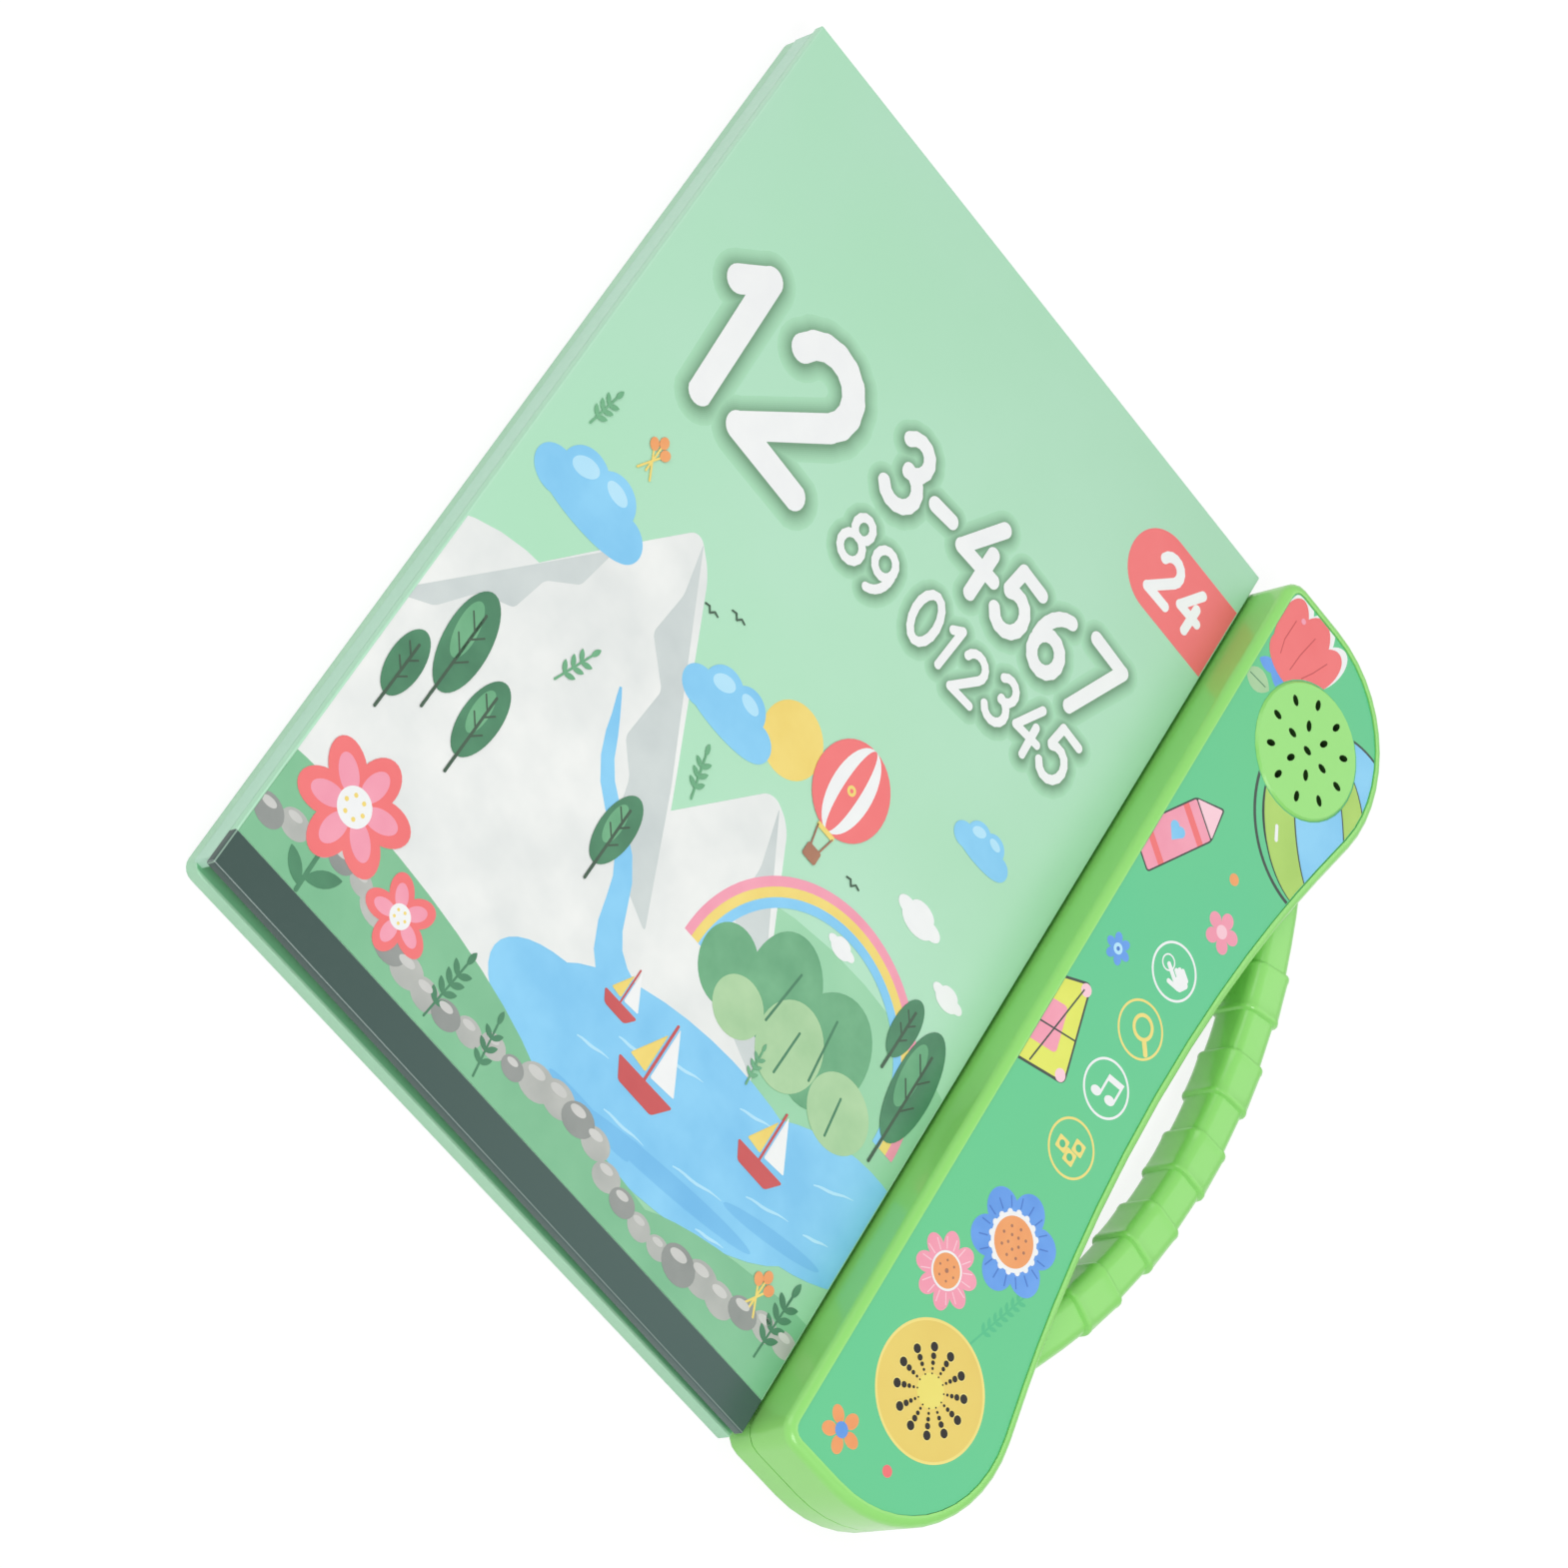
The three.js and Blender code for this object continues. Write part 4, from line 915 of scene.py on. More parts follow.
def cover_details():
    """Bushes, trees, an arch of colours, a balloon, boats and flowers."""
    bushes = oval(118, 78, 10, 13, 12) + oval(134, 76, 11, 14, -8) + oval(104, 72, 8, 9, 20)
    on_cover("bushes_back", bushes, GREEN, 6)
    front = oval(126, 70, 9, 10, 5) + oval(144, 68, 9, 8, -12) + oval(111, 67, 7, 6.5)
    on_cover("bushes_front", front, GREEN_PALE, 7)
    veins = []
    for x, y, reach, turn in ((118, 70, 14, 84), (134, 68, 15, 96), (126, 63, 11, 88), (144, 62, 9, 98)):
        veins += stroke(x, y, x + reach * math.cos(math.radians(turn)),
                        y + reach * math.sin(math.radians(turn)), 0.3)
    on_cover("bush_veins", veins, GREEN_DEEP, 8)
    crowns, trunks = [], []
    for x, y, tall, wide, lean in ((16, 58, 30, 11, 4), (28, 52, 24, 9, -3), (156, 66, 34, 11, 3),
                                   (66, 60, 22, 8.5, -4),
                                   (8, 50, 20, 8, 0), (147, 84, 18, 7, 0)):
        crown, trunk = tree(x, y, tall, wide, lean)
        crowns += crown
        trunks += trunk
    on_cover("tree_crowns", crowns, GREEN_DEEP, 11)
    on_cover("tree_trunks", trunks, STALK, 12)
    glints = []
    for x, y, wide, tall, lean in ((14.5, 78, 2.6, 7, 6), (27, 67.5, 2.1, 5.6, 0), (154, 88, 2.6, 8, 4),
                                   (65, 74, 2, 5, 0)):
        glints += oval(x, y, wide, tall, lean)
    on_cover("tree_glints", glints, GREEN, 12)
    on_cover("arch_outer", ring(126, 70, 35, 32.8, 96, (-90,)), PINK, 5)
    on_cover("arch_middle", ring(126, 70, 32.8, 30.6, 96, (-90,)), SUN, 5)
    on_cover("arch_inner", ring(126, 70, 30.6, 28.4, 96, (-90,)), WATER, 5)
    on_cover("balloon_bag", oval(106, 124, 10.5, 11.5), CORAL, 9)
    on_cover("balloon_stripes", oval(106, 124, 5.6, 11.5), WHITE, 10)
    on_cover("balloon_middle", oval(106, 124, 2.3, 11.5), CORAL, 11)
    on_cover("balloon_band", ring(106, 124, 1.2, 0.5) + block(106, 112.2, 5.4, 1.2, 0, 0.4), SUN, 12)
    lines = strokes([(103.6, 112), (104.6, 107.6)], 0.2) + strokes([(108.4, 112), (107.4, 107.6)], 0.2)
    on_cover("balloon_basket", block(106, 105.8, 4.2, 3.4, 0, 0.6) + lines, WOOD, 12)
    hulls, sails, warm_sails = [], [], []
    for x, y, size in ((102, 36, 1.0), (134, 44, 0.85), (88, 45, 0.6)):
        hulls += plate([(x - 8 * size, y + 2.5 * size), (x - 5 * size, y - 2 * size),
                        (x + 5.5 * size, y - 2 * size),
                        (x + 9 * size, y + 2.8 * size)], 0.7)
        hulls += stroke(x, y + 2 * size, x, y + 17 * size, 0.35 * size)
        sails += plate([(x + 0.8 * size, y + 4 * size), (x + 8 * size, y + 4.6 * size),
                        (x + 0.8 * size, y + 17 * size)], 0.4)
        warm_sails += plate([(x - 0.8 * size, y + 4 * size), (x - 6 * size, y + 4.6 * size),
                             (x - 0.8 * size, y + 14 * size)], 0.4)
    on_cover("boat_hulls", hulls, CORAL_DARK, 9)
    on_cover("boat_sails", sails, WHITE, 9)
    on_cover("boat_foresails", warm_sails, SUN, 9)
    big = petals(17, 31, 6, 7.4, 4.6, 6.6, 20) + petals(38, 22, 5, 4.6, 3.0, 4.2, 50)
    on_cover("bloom_petals", big, CORAL, 12)
    on_cover("bloom_shine", petals(17, 31, 6, 6.6, 2.4, 4.2, 20) + petals(38, 22, 5, 4.0, 1.6, 2.7, 50),
             PINK, 13)
    on_cover("bloom_hearts", oval(17, 31, 4.2) + oval(38, 22, 2.6), WHITE, 14)
    on_cover("bloom_stamens", petals(17, 31, 6, 2.4, 0.5, 0.5) + petals(38, 22, 5, 1.4, 0.35, 0.35), SUN, 15)
    stems = strokes([(17, 9), (16.5, 24)], 0.5) + leaf(17, 12, 9, 3.6, 40) + leaf(17, 10, 8, 3.2, 140)
    stems += sprig(54, 11, 15, 84, 4, 3.6) + sprig(70, 10, 12, 98, 3, 3.2) + sprig(157, 14, 16, 88, 4, 3.8)
    on_cover("near_stems", stems, GREEN_DEEP, 11)
    pale = sprig(36, 86, 11, 70, 3, 3.0) + sprig(76, 92, 10, 105, 3, 2.8) + sprig(10, 134, 9, 80, 3, 2.8)
    pale += sprig(122, 56, 8, 95, 3, 2.2)
    on_cover("pale_sprigs", pale, GREEN, 12)
    buds, stalks = [], []
    for x, y, turn in ((148, 20, 60), (150, 21, 88), (152, 20, 116), (24, 136, 62), (26, 137, 90),
                       (28, 136, 118)):
        tip_x = x + 8 * math.cos(math.radians(turn))
        tip_y = y + 8 * math.sin(math.radians(turn))
        stalks += stroke(x, y, tip_x, tip_y, 0.25)
        buds += oval(tip_x, tip_y, 1.5, 1.2, turn, 18)
    on_cover("bud_stalks", stalks, SUN, 11)
    on_cover("orange_buds", buds, ORANGE, 12)
    puffs = []
    for x, y, size in ((136, 116, 1.0), (152, 108, 0.7), (124, 96, 0.6)):
        for dx, dy, wide in ((-4, 0, 3), (0, 1.4, 3.8), (4, 0, 3), (0, -0.8, 5)):
            puffs += oval(x + dx * size, y + dy * size, wide * size, wide * 0.6 * size, 0, 22)
    on_cover("white_puffs", puffs, WHITE, 5)
    birds = []
    for x, y in ((56, 126), (62, 130), (118, 108)):
        birds += strokes([(x - 2, y + 0.8), (x - 0.9, y + 1.1), (x, y), (x + 0.9, y + 1.1),
                          (x + 2, y + 0.8)], 0.22)
    on_cover("distant_birds", birds, STALK, 10)


def age_tab():
    """A coral tab at the cover's edge, with two plain figures."""
    on_cover("cover_tab", oval(141.75, 227.75, 10.25, sides=64) + block(153.2, 227.75, 22.9, 20.5), CORAL, 2)
    on_cover("tab_figures", numeral("2", 143.5, 228, 11.5, 1.3) + numeral("4", 153.0, 228, 10.5, 1.2),
             WHITE, 3)


PAGE_LOW, PAGE_HIGH = (Vector(corner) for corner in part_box("page_block"))
PAGE_GAP = 0.3 * MM


def page_lift(x):
    """Height of the first page's face."""
    return cover_lift(x) - BOARD - PAGE_GAP


def on_page(name, shapes, material, layer):
    """Ink shapes on the first page."""
    return ink(name, shapes, material, "book_and_bar", page_lift, layer)


def star(x, y, outer, inner, points=5):
    """A flat star, laid as a fan of small plates."""
    spots = []
    for i in range(points * 2):
        reach = inner if i % 2 else outer
        angle = math.radians(90 + 180 * i / points)
        spots.append((x + reach * math.cos(angle), y + reach * math.sin(angle)))
    fan = []
    for i in range(points):
        fan += plate([(x, y), spots[2 * i - 1], spots[2 * i], spots[2 * i + 1]])
    return fan


def first_page():
    """The first page: twelve tiles, each with one simple coloured shape."""
    left = (PAGE_LOW.x - SPINE_X) / MM
    right = (PAGE_HIGH.x - SPINE_X) / MM
    foot = (PAGE_LOW.y - FOOT_Y) / MM
    head = (PAGE_HIGH.y - FOOT_Y) / MM
    wide = (right - left - 26) / 3
    tall = (head - foot - 34) / 4
    tiles = {0: [], 1: [], 2: []}
    places = []
    for row in range(4):
        for column in range(3):
            x = left + 8 + wide / 2 + column * (wide + 5)
            y = foot + 9.5 + tall / 2 + row * (tall + 5)
            tiles[(row + column) % 3] += block(x, y, wide, tall, 0, 4.5)
            places.append((x, y))
    on_page("page_tiles_blue", tiles[0], WATER_LIGHT, 1)
    on_page("page_tiles_pink", tiles[1], PINK_PALE, 1)
    on_page("page_tiles_green", tiles[2], GROUND_PALE, 1)
    at = iter(places)
    x, y = next(at)
    on_page("page_disc", oval(x, y, 13), CORAL, 2)
    x, y = next(at)
    on_page("page_square", block(x, y, 22, 22, 0, 2), BLUE, 2)
    x, y = next(at)
    on_page("page_triangle", plate([(x - 14, y - 11), (x + 14, y - 11), (x, y + 13)], 2), SUN, 2)
    x, y = next(at)
    on_page("page_star", star(x, y, 15, 6.4), SUN, 2)
    x, y = next(at)
    on_page("page_bloom", petals(x, y, 6, 9, 5, 6), CORAL, 2)
    on_page("page_bloom_heart", oval(x, y, 5), WHITE, 3)
    x, y = next(at)
    on_page("page_leaf", leaf(x - 15, y - 8, 34, 17, 26), GREEN_DEEP, 2)
    on_page("page_leaf_vein", stroke(x - 13, y - 7, x + 12, y + 5.2, 0.5), GREEN_PALE, 3)
    x, y = next(at)
    on_page("page_hull", plate([(x - 15, y - 5), (x - 9, y - 13), (x + 10, y - 13), (x + 16, y - 5)],
                               1.5), CORAL_DARK, 2)
    on_page("page_sails", plate([(x + 1, y - 2), (x + 13, y - 2), (x + 1, y + 15)], 0.8), WHITE, 2)
    on_page("page_foresail", plate([(x - 1, y - 2), (x - 11, y - 2), (x - 1, y + 11)], 0.8), ORANGE, 2)
    x, y = next(at)
    on_page("page_cloud", oval(x - 8, y - 2, 8, 6) + oval(x + 1, y + 2, 10, 8) + oval(x + 10, y - 2, 8,
            6), WHITE, 2)
    x, y = next(at)
    on_page("page_fish", oval(x - 2, y, 12, 7.5) + plate([(x + 7, y), (x + 16, y + 7), (x + 16, y - 7)],
            1.5), ORANGE, 2)
    on_page("page_fish_eye", oval(x - 8, y + 1.5, 1.4), STALK, 3)
    x, y = next(at)
    on_page("page_sun", oval(x, y, 8) + petals(x, y, 12, 12.5, 0.9, 2.4), SUN, 2)
    x, y = next(at)
    crown, trunk = tree(x, y - 15, 30, 18)
    on_page("page_tree", crown, GREEN, 2)
    on_page("page_trunk", trunk, STALK, 3)
    x, y = next(at)
    heart = oval(x - 5, y + 3, 6.2) + oval(x + 5, y + 3, 6.2)
    heart += plate([(x - 10.6, y + 0.2), (x, y - 13), (x + 10.6, y + 0.2), (x, y + 6)])
    on_page("page_heart", heart, CORAL, 2)


first_page()
title_numbers()
cover_landscape()
cover_details()
age_tab()


# The panel of the sound bar.

def panel_flowers():
    """Flowers and small dots spread over the panel."""
    on_panel("blue_flower", petals(189.9, 72.5, 6, 7.3, 4.4, 4.7, 30) + oval(189.9, 72.5, 8), BLUE, 1)
    rays = []
    for i in range(18):
        angle = math.radians(20 * i + 30)
        rays += stroke(189.9 + 7.4 * math.cos(angle), 72.5 + 7.4 * math.sin(angle),
                       189.9 + 9.6 * math.cos(angle), 72.5 + 9.6 * math.sin(angle), 0.16)
    on_panel("blue_flower_rays", rays, BLUE_DARK, 2)
    scallops = oval(189.9, 72.5, 6.4) + petals(189.9, 72.5, 16, 6.3, 0.75, 0.75)
    on_panel("blue_flower_frill", scallops, WHITE, 3)
    on_panel("blue_flower_heart", oval(189.9, 72.5, 5.5), ORANGE, 4)
    on_panel("pink_flower", petals(179.4, 55.4, 8, 5.7, 2.2, 2.8, 22) + oval(179.4, 55.4, 5), PINK, 1)
    veins = []
    for i in range(16):
        angle = math.radians(22.5 * i + 12)
        veins += stroke(179.4 + 4.6 * math.cos(angle), 55.4 + 4.6 * math.sin(angle),
                        179.4 + 7.0 * math.cos(angle), 55.4 + 7.0 * math.sin(angle), 0.12)
    on_panel("pink_flower_veins", veins, PINK_PALE, 2)
    on_panel("pink_flower_frill", oval(179.4, 55.4, 4.2), WHITE, 3)
    on_panel("pink_flower_heart", oval(179.4, 55.4, 3.7), ORANGE, 4)
    seeds = petals(189.9, 72.5, 8, 3.4, 0.35, 0.35) + petals(189.9, 72.5, 5, 1.6, 0.35, 0.35)
    seeds += petals(179.4, 55.4, 6, 2.2, 0.28, 0.28) + oval(179.4, 55.4, 0.5)
    on_panel("flower_seeds", seeds, WOOD, 5)
    on_panel("small_pink_flower", petals(195.9, 167.6, 5, 3.1, 1.75, 1.9, 90) + oval(195.9, 167.6, 2.4),
             PINK, 1)
    on_panel("small_pink_heart", oval(195.9, 167.6, 1.6), PINK_PALE, 2)
    on_panel("small_blue_flower", petals(175.4, 143.1, 6, 2.3, 1.1, 1.4, 0), BLUE, 1)
    on_panel("small_blue_heart", oval(175.4, 143.1, 1.3), WATER_LIGHT, 2)
    on_panel("small_blue_stamen", oval(175.4, 143.1, 0.5, sides=16), BLUE_DARK, 3)
    on_panel("orange_flower", petals(177.2, 11.2, 5, 3.2, 1.55, 2.0, 70), ORANGE, 1)
    on_panel("orange_flower_heart", oval(177.2, 11.2, 1.7), BLUE, 2)
    on_panel("orange_dot", oval(191.9, 179.7, 1.4), ORANGE, 1)
    on_panel("red_dot", oval(191.4, 12.4, 1.3), CORAL, 1)
    on_panel("faint_sprig", sprig(193.0, 47, 20, 72, 7, 2.3), TEAL, 0.4)


def panel_tulip():
    """A coral tulip above the grille, with its leaf."""
    tips = oval(172.2, 240.4, 4.4, 8.6, 6) + oval(178.8, 240.6, 5.0, 8.9, -6) + oval(184.6, 238.6, 3.9,
            8.4, -20)
    on_panel("tulip_tips", tips, WHITE, 2, True)
    cup = oval(171.8, 238.2, 4.3, 8.6, 6) + oval(178.2, 238.6, 5.2, 9.0, -4) + oval(183.6, 236.8, 4.0,
            8.4, -20)
    cup += oval(177.2, 232.6, 8.8, 5.8)
    on_panel("tulip_cup", cup, CORAL, 3, True)
    lines = strokes([(172.5, 231.5), (171.6, 235), (171.8, 241)], 0.13)
    lines += strokes([(176.8, 230.5), (177.2, 235.5), (178.4, 242)], 0.13)
    lines += strokes([(180.6, 231.5), (182.4, 235), (184.4, 240)], 0.13)
    on_panel("tulip_veins", lines, CORAL_DARK, 4, True)
    on_panel("tulip_dots", oval(182.0, 231.4, 0.8, sides=18) + oval(173.5, 242.6, 0.7, sides=18), PINK, 5,
             True)
    on_panel("tulip_base", leaf(174.5, 227.6, 6.2, 3.4, 196) + leaf(172.5, 226.4, 7.4, 3.2, -12), BLUE, 1,
             True)
    on_panel("tulip_leaf", leaf(167.0, 221.0, 8.0, 5.6, 6), GREEN_PALE, 1, True)
    on_panel("tulip_leaf_vein", stroke(168.4, 221.2, 173.6, 221.7, 0.13), GREEN_DEEP, 2, True)


def panel_ball():
    """A striped play ball behind the grille, with dark rim lines at its lower left."""
    x, y = 207.0, 211.0
    on_panel("ball_line", ring(x, y, 24.6, 23.8, 96, (10, 95)), OUTLINE, 1, True)
    on_panel("ball_edge", oval(x, y, 21.9, sides=80), OUTLINE, 1, True)
    on_panel("ball_body", oval(x, y, 21.3, sides=80), WATER, 2, True)
    stripe = oval(x - 4, y - 4, 15.6, 21.2, 40, 64)
    on_panel("ball_stripe_line", oval(x - 4, y - 4, 16.0, 21.2, 40, 64), OUTLINE, 3, True)
    on_panel("ball_stripe", stripe, LIME_INK, 4, True)
    on_panel("ball_inner_line", oval(x - 3, y - 3, 7.8, 20.6, 40, 64), OUTLINE, 5, True)
    on_panel("ball_inner", oval(x - 3, y - 3, 7.4, 20.6, 40, 64), WATER, 6, True)
    on_panel("ball_shine", stroke(196.0, 196.0, 194.4, 198.6, 0.5), WHITE, 7, True)


def panel_crayon():
    """A pink crayon lying across the panel's left edge."""
    x, y, lean = 173.6, 176.8, 62.0
    line = turned([(x - 13.4, y - 5.2), (x + 8.2, y - 5.2), (x + 15.4, y), (x + 8.2, y + 5.2),
                   (x - 13.4, y + 5.2)],
                  x, y, lean)
    on_panel("crayon_line", plate(line, 0.9), OUTLINE, 1, True)
    body = turned([(x - 13.0, y - 4.8), (x + 8, y - 4.8), (x + 8, y + 4.8), (x - 13.0, y + 4.8)], x, y, lean)
    on_panel("crayon_body", plate(body, 0.5), PINK, 2, True)
    tip = turned([(x + 8.4, y - 4.7), (x + 14.6, y), (x + 8.4, y + 4.7)], x, y, lean)
    on_panel("crayon_tip", plate(tip, 0.5), PINK_PALE, 2, True)
    bands = []
    for near, far in ((-9.5, -7.7), (3.6, 5.4)):
        band = [(x + near, y - 4.8), (x + far, y - 4.8), (x + far, y + 4.8), (x + near, y + 4.8)]
        bands += plate(turned(band, x, y, lean))
    on_panel("crayon_bands", bands, CORAL, 3, True)
    heart_x, heart_y = x - 0.6, y - 0.6
    heart = oval(heart_x - 1.05, heart_y + 0.5, 1.3) + oval(heart_x + 1.05, heart_y + 0.5, 1.3)
    tip = [(heart_x - 2.2, heart_y - 0.1), (heart_x, heart_y - 2.7), (heart_x + 2.2, heart_y - 0.1),
           (heart_x, heart_y + 1.0)]
    heart += plate(tip)
    on_panel("crayon_heart", heart, WATER, 3)


def panel_kite():
    """A yellow kite at the panel's edge, cut by it."""
    kite = [(165, 103.4), (181.2, 108.6), (174.4, 131.8), (161, 124)]
    on_panel("kite_line", plate(kite, 1.8), OUTLINE, 1, True)
    inner = [(165.5, 104.2), (180.5, 109.1), (174.1, 130.9), (161.6, 123.6)]
    on_panel("kite_sheet", plate(inner, 1.6), LEMON, 2, True)
    pane = [(164, 109), (175.4, 112.4), (172.2, 122.9), (164, 120.2)]
    on_panel("kite_pane", plate(pane, 1.2), PINK, 3, True)
    corners = oval(179.0, 109.6, 1.5) + oval(173.9, 129.4, 1.5)
    on_panel("kite_corners", corners, PINK_PALE, 3, True)
    cross = stroke(164, 114.0, 178.0, 118.4, 0.2) + stroke(170.6, 106.4, 173.4, 129.0, 0.2)
    on_panel("kite_cross", cross, OUTLINE, 4, True)


def key_icons():
    """Four round keys: white and yellow rings with plain signs."""
    x = 190.5
    keys = [(150.6, WHITE), (133.5, YELLOW_PALE), (116.4, WHITE), (99.3, YELLOW_PALE)]
    for index, (y, material) in enumerate(keys, start=1):
        on_panel("key_ring_%d" % index, ring(x, y, 6.7, 6.15, 64), material, 1)
    y = keys[0][0]
    hand = plate(turned([(x - 1.3, y - 1.2), (x + 2.8, y - 1.4), (x + 2.4, y - 4.6), (x - 0.9, y - 4.6)],
                        x, y, 62), 0.7)
    for near, far, side in ((-3.0, 2.0, -0.7), (-3.0, 0.0, 0.7), (-3.0, -0.2, 1.7), (-3.0, -0.8, 2.5)):
        (x0, y0), (x1, y1) = turned([(x + side, y + near), (x + side, y + far)], x, y, 62)
        hand += stroke(x0, y0, x1, y1, 0.58)
    (x0, y0), (x1, y1) = turned([(x - 2.5, y - 1.2), (x - 0.8, y - 3.6)], x, y, 62)
    hand += stroke(x0, y0, x1, y1, 0.55)
    on_panel("touch_sign", hand, WHITE, 2)
    (x0, y0), = turned([(x - 0.7, y + 2.4)], x, y, 62)
    on_panel("touch_sign_ring", ring(x0, y0, 1.95, 1.6, 32), WHITE, 3)
    y = keys[1][0]
    on_panel("lens_sign", ring(x + 0.3, y + 0.9, 3.1, 2.25, 44), YELLOW_PALE, 2)
    on_panel("lens_sign_grip", stroke(x + 2.3, y - 1.4, x + 4.2, y - 3.4, 0.66), YELLOW_PALE, 3)
    y = keys[2][0]
    note = oval(x - 2.0, y - 2.3, 1.5, 1.1, 20, 24) + oval(x + 2.2, y - 1.5, 1.5, 1.1, 20, 24)
    note += block(x - 0.8, y + 0.4, 0.6, 5.2) + block(x + 3.4, y + 1.2, 0.6, 5.2)
    note += plate([(x - 1.1, y + 1.7), (x + 3.7, y + 2.5), (x + 3.7, y + 4.0), (x - 1.1, y + 3.2)])
    on_panel("note_sign", note, WHITE, 2)
    y = keys[3][0]
    cubes, faces = [], []
    for dx, dy in ((-2.5, -0.9), (0.7, -1.9), (1.6, 1.4)):
        cubes += block(x + dx, y + dy, 3.1, 3.1, 3, 0.3)
    on_panel("cube_sign", cubes, YELLOW_PALE, 2)
    for dx, dy in ((-2.5, -0.9), (0.7, -1.9), (1.6, 1.4)):
        faces += oval(x + dx, y + dy, 0.85, sides=20)
    on_panel("cube_sign_dots", faces, TEAL, 3)


def lower_speaker_print():
    """A yellow disc with twelve rows of dots that grow outwards."""
    x, y = 190.65, 32.87
    on_panel("disc_rim", oval(x, y, 14.9, sides=80), YELLOW_PALE, 1)
    on_panel("disc_ground", oval(x, y, 14.3, sides=80), YELLOW, 2)
    on_panel("disc_middle", oval(x, y, 3.7), MIDDLE_YELLOW, 3)
    dots, rims = [], []
    for i in range(12):
        angle = math.radians(30 * i)
        for reach, size in ((3.6, 0.2), (4.6, 0.32), (5.8, 0.48), (7.2, 0.68), (9.1, 1.0)):
            dots += oval(x + reach * math.cos(angle), y + reach * math.sin(angle), size, sides=18)
        rims += oval(x + 9.1 * math.cos(angle), y + 9.1 * math.sin(angle), 1.22, sides=18)
    on_panel("disc_dot_rims", rims, YELLOW_PALE, 4)
    on_panel("disc_dots", dots, DOT, 5)


panel_flowers()
panel_tulip()
panel_ball()
panel_crayon()
panel_kite()
key_icons()
lower_speaker_print()


# The sound bar.

PANEL_INK = surface("panel_print", (84, 198, 142), (94, 200, 136), 0.3, grain=90.0, height=0.0, patch=9.0,
                    coat=0.1, spread=0.01)

GRILLE_REACH = 14.8 * MM


def bar_top():
    """The upper shell; the walls of its grille holes are darker, as they are in shade."""
    shell = dressed("top_shell", "bar_top", LIME, "book_and_bar", 0.22 * MM, 40.0)
    shell.data.materials.append(moulded_plastic("grille_depth", (52, 84, 40), (44, 74, 34)))
    low, high = (Vector(corner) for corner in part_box("speaker_cone"))
    centre = (low + high) / 2
    for polygon in shell.data.polygons:
        reach = (polygon.center - centre).to_2d().length
        if abs(polygon.normal.z) < 0.5 and reach < GRILLE_REACH:
            polygon.material_index = 1
    return shell


bar_top()
dressed("bottom_shell", "bar_base", LIME, "book_and_bar", 0.2 * MM, 40.0)
dressed("battery_door", "battery_lid", LIME, "book_and_bar", 0.15 * MM, 40.0)


def panel_film():
    """The printed film: its rim is drawn outwards until it nearly meets the wall of its recess."""
    film = dressed("panel_overlay", "panel_film", PANEL_INK, "book_and_bar", 0.0)
    mesh = bmesh.new()
    mesh.from_mesh(film.data)
    moves = {}
    for vertex in mesh.verts:
        sides = [face.normal for face in vertex.link_faces if abs(face.normal.z) < 0.5]
        if sides:
            outward = Vector((sum(n.x for n in sides), sum(n.y for n in sides), 0.0)).normalized()
            moves[vertex] = outward * 0.24 * MM
    for vertex, move in moves.items():
        vertex.co += move
    mesh.to_mesh(film.data)
    mesh.free()


panel_film()

ARC_RADIUS = HANDLE_ARC * MM
BAND_WIDTH = 11.4 * MM
HANDLE_WIDTH = 9.8 * MM
HANDLE_HEIGHT = 11.4 * MM
ARC_CENTRE = Vector((HANDLE_HIGH.x - BAND_WIDTH / 2 - ARC_RADIUS, 0.0, (HANDLE_LOW.z + HANDLE_HIGH.z) / 2))
BAND_PITCH = 22.4 * MM
BAND_HALF = 5.8 * MM


def handle_stations():
    """Places along the handle's arc, each with the swell of its section there."""
    end = ANCHOR_SPAN / 2 * MM + 1.2 * MM
    stations = [(-end, 1.0)]
    for i in range(-2, 3):
        middle = i * BAND_PITCH
        low, high = middle - BAND_HALF, middle + BAND_HALF
        start = stations[-1][0]
        for share in (0.35, 0.7):
            stations.append((start + (low - start) * share, 1.0))
        stations += [(low - 0.4 * MM, 1.01), (low, 1.13), (low + 0.3 * MM, 1.155), (low + 0.9 * MM, 1.155),
                     (low + 1.3 * MM, 1.133), (low + 3.4 * MM, 1.125), (middle, 1.12), (high - 3.4 * MM,
                             1.125),
                     (high - 1.3 * MM, 1.133), (high - 0.9 * MM, 1.155), (high - 0.3 * MM, 1.155), (high,
                             1.13),
                     (high + 0.4 * MM, 1.01)]
    last = stations[-1][0]
    for share in (0.3, 0.6):
        stations.append((last + (end - last) * share, 1.0))
    return stations + [(end, 1.0)]


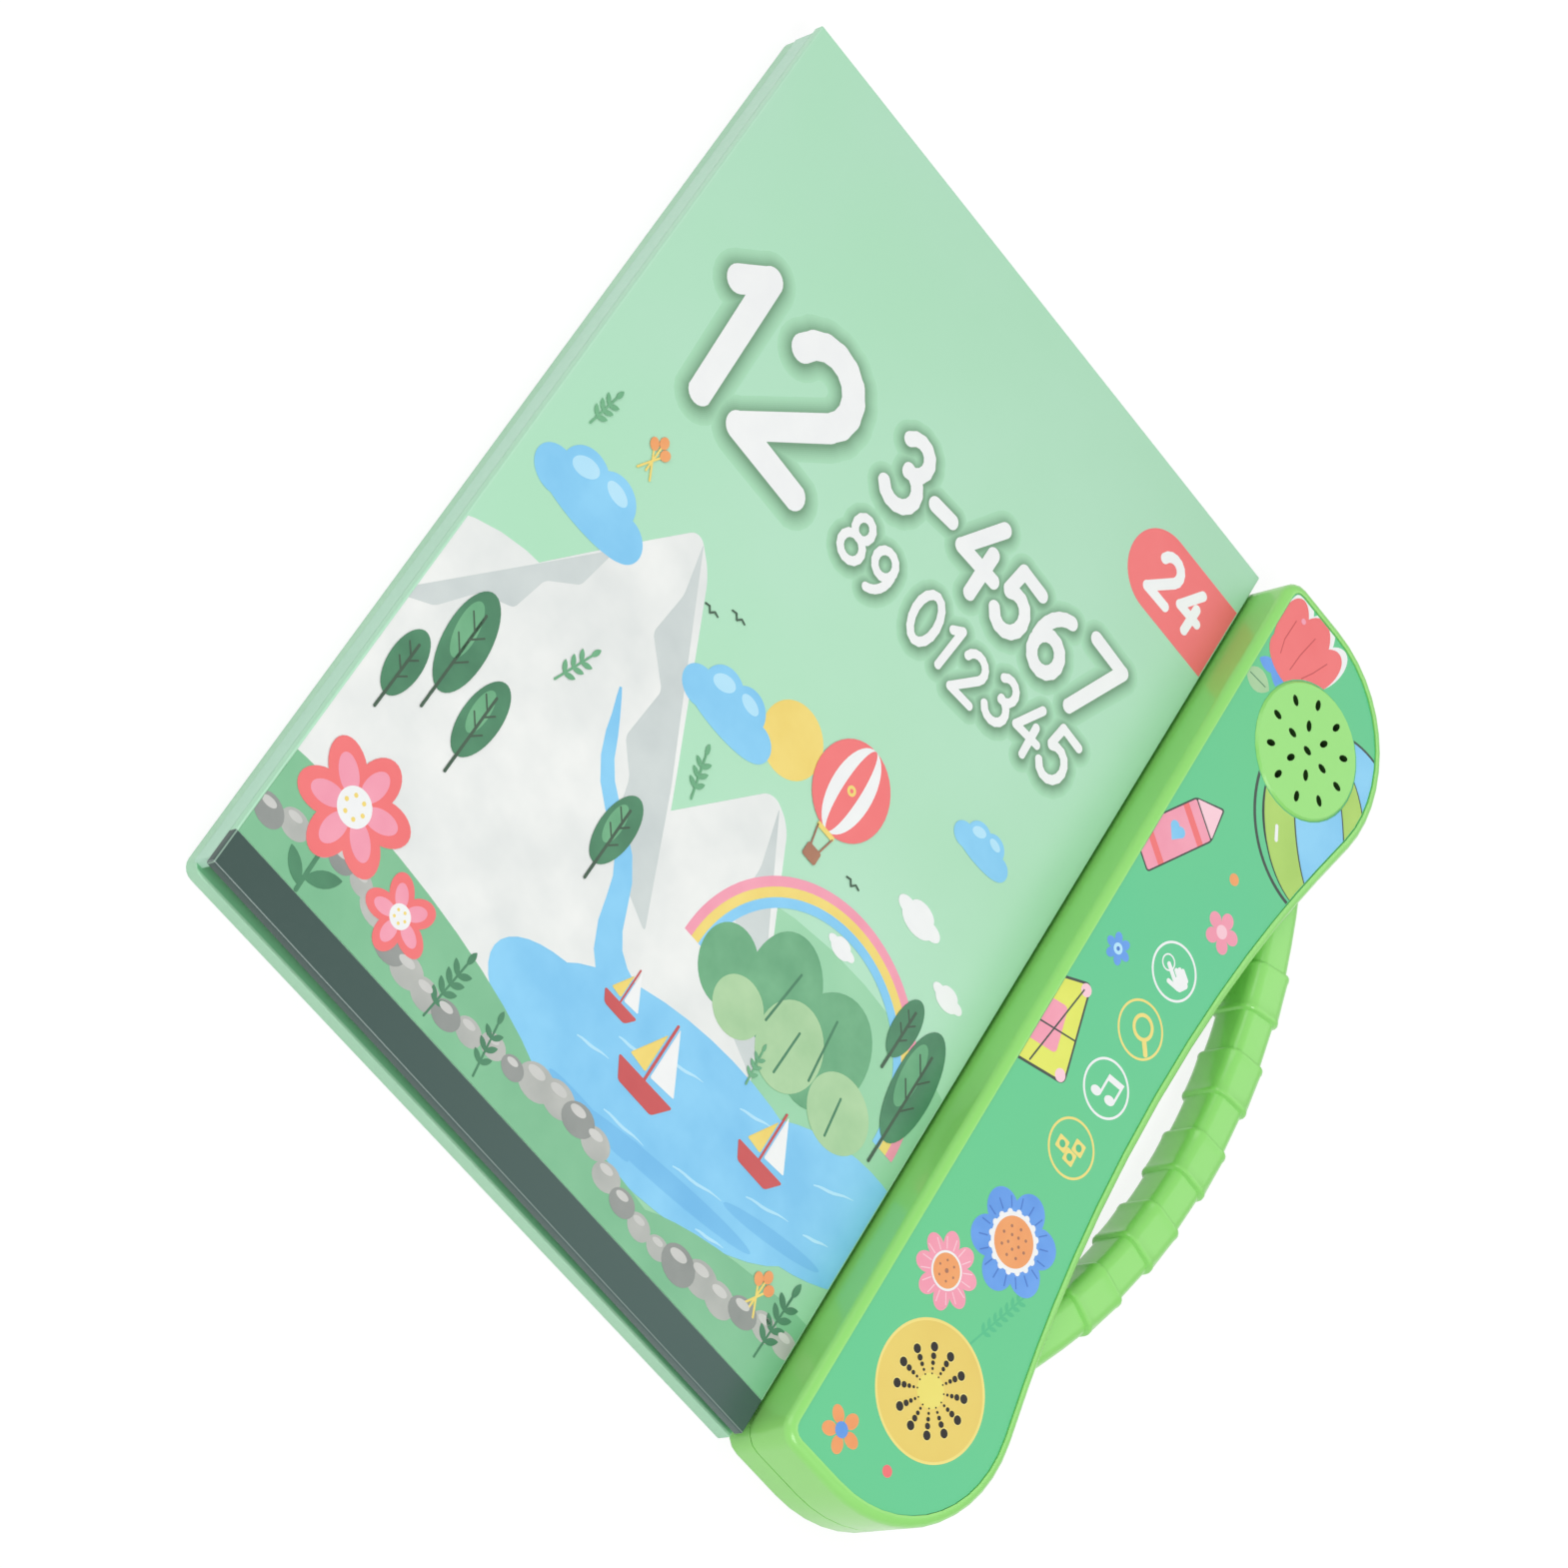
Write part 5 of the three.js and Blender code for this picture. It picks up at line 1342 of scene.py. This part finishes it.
def carry_handle():
    """A rounded bar bowed along an arc, with five sleeves that have a lip at both ends."""
    deselect()
    stations = handle_stations()
    first = stations[0][0] / ARC_RADIUS
    bpy.ops.mesh.primitive_plane_add(size=1.0)
    piece = bpy.context.object
    piece.name = "carry_handle"
    piece.scale = (HANDLE_WIDTH, HANDLE_HEIGHT, 1.0)
    settle(piece)
    edit(piece)
    bpy.ops.mesh.bevel(offset=2.7 * MM, segments=5, affect="VERTICES")
    bpy.ops.transform.rotate(value=-math.radians(90), orient_axis="X", center_override=(0, 0, 0))
    middle = ARC_CENTRE + Vector((ARC_RADIUS, 0.0, 0.0))
    bpy.ops.transform.translate(value=middle)
    bpy.ops.transform.rotate(value=-first, orient_axis="Z", center_override=ARC_CENTRE)
    at, swell = first, 1.0
    for reach, fresh_swell in stations[1:]:
        angle = reach / ARC_RADIUS
        bpy.ops.mesh.extrude_region_move()
        bpy.ops.transform.rotate(value=-(angle - at), orient_axis="Z", center_override=ARC_CENTRE)
        middle = ARC_CENTRE + Vector((math.cos(angle), math.sin(angle), 0.0)) * ARC_RADIUS
        ratio = fresh_swell / swell
        bpy.ops.transform.resize(value=(ratio, ratio, ratio), center_override=middle)
        at, swell = angle, fresh_swell
    bpy.ops.mesh.select_all(action="SELECT")
    bpy.ops.mesh.normals_make_consistent(inside=False)
    leave_edit()
    smooth(piece, 28.0)
    wear(piece, LIME_DEEP)
    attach(piece, "book_and_bar")
    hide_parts("handle")


carry_handle()

CAD_FINISH = {
    "touch_membrane": FILM, "speaker_frame": STEEL, "speaker_cone": CONE, "speaker_magnet": STEEL,
    "main_board": CIRCUIT, "sound_chip": BLACK, "capacitor": SLEEVE, "touch_board": CIRCUIT,
    "switch_body": STEEL, "switch_knob": BLACK, "door_screw": STEEL,
}
CAD_FAMILIES = ("cell_", "plate_contact_", "spring_contact_", "shell_screw_")
for piece in list(bpy.data.objects):
    finish = CAD_FINISH.get(piece.name)
    if piece.name.startswith(CAD_FAMILIES):
        finish = STEEL
    if finish and piece.type == "MESH":
        wear(piece, finish)

bpy.data.objects.remove(CUTTER)
for spare in DISCS.values():
    bpy.data.meshes.remove(spare)

scene = bpy.context.scene
scene.view_settings.view_transform = "Standard"
deselect()
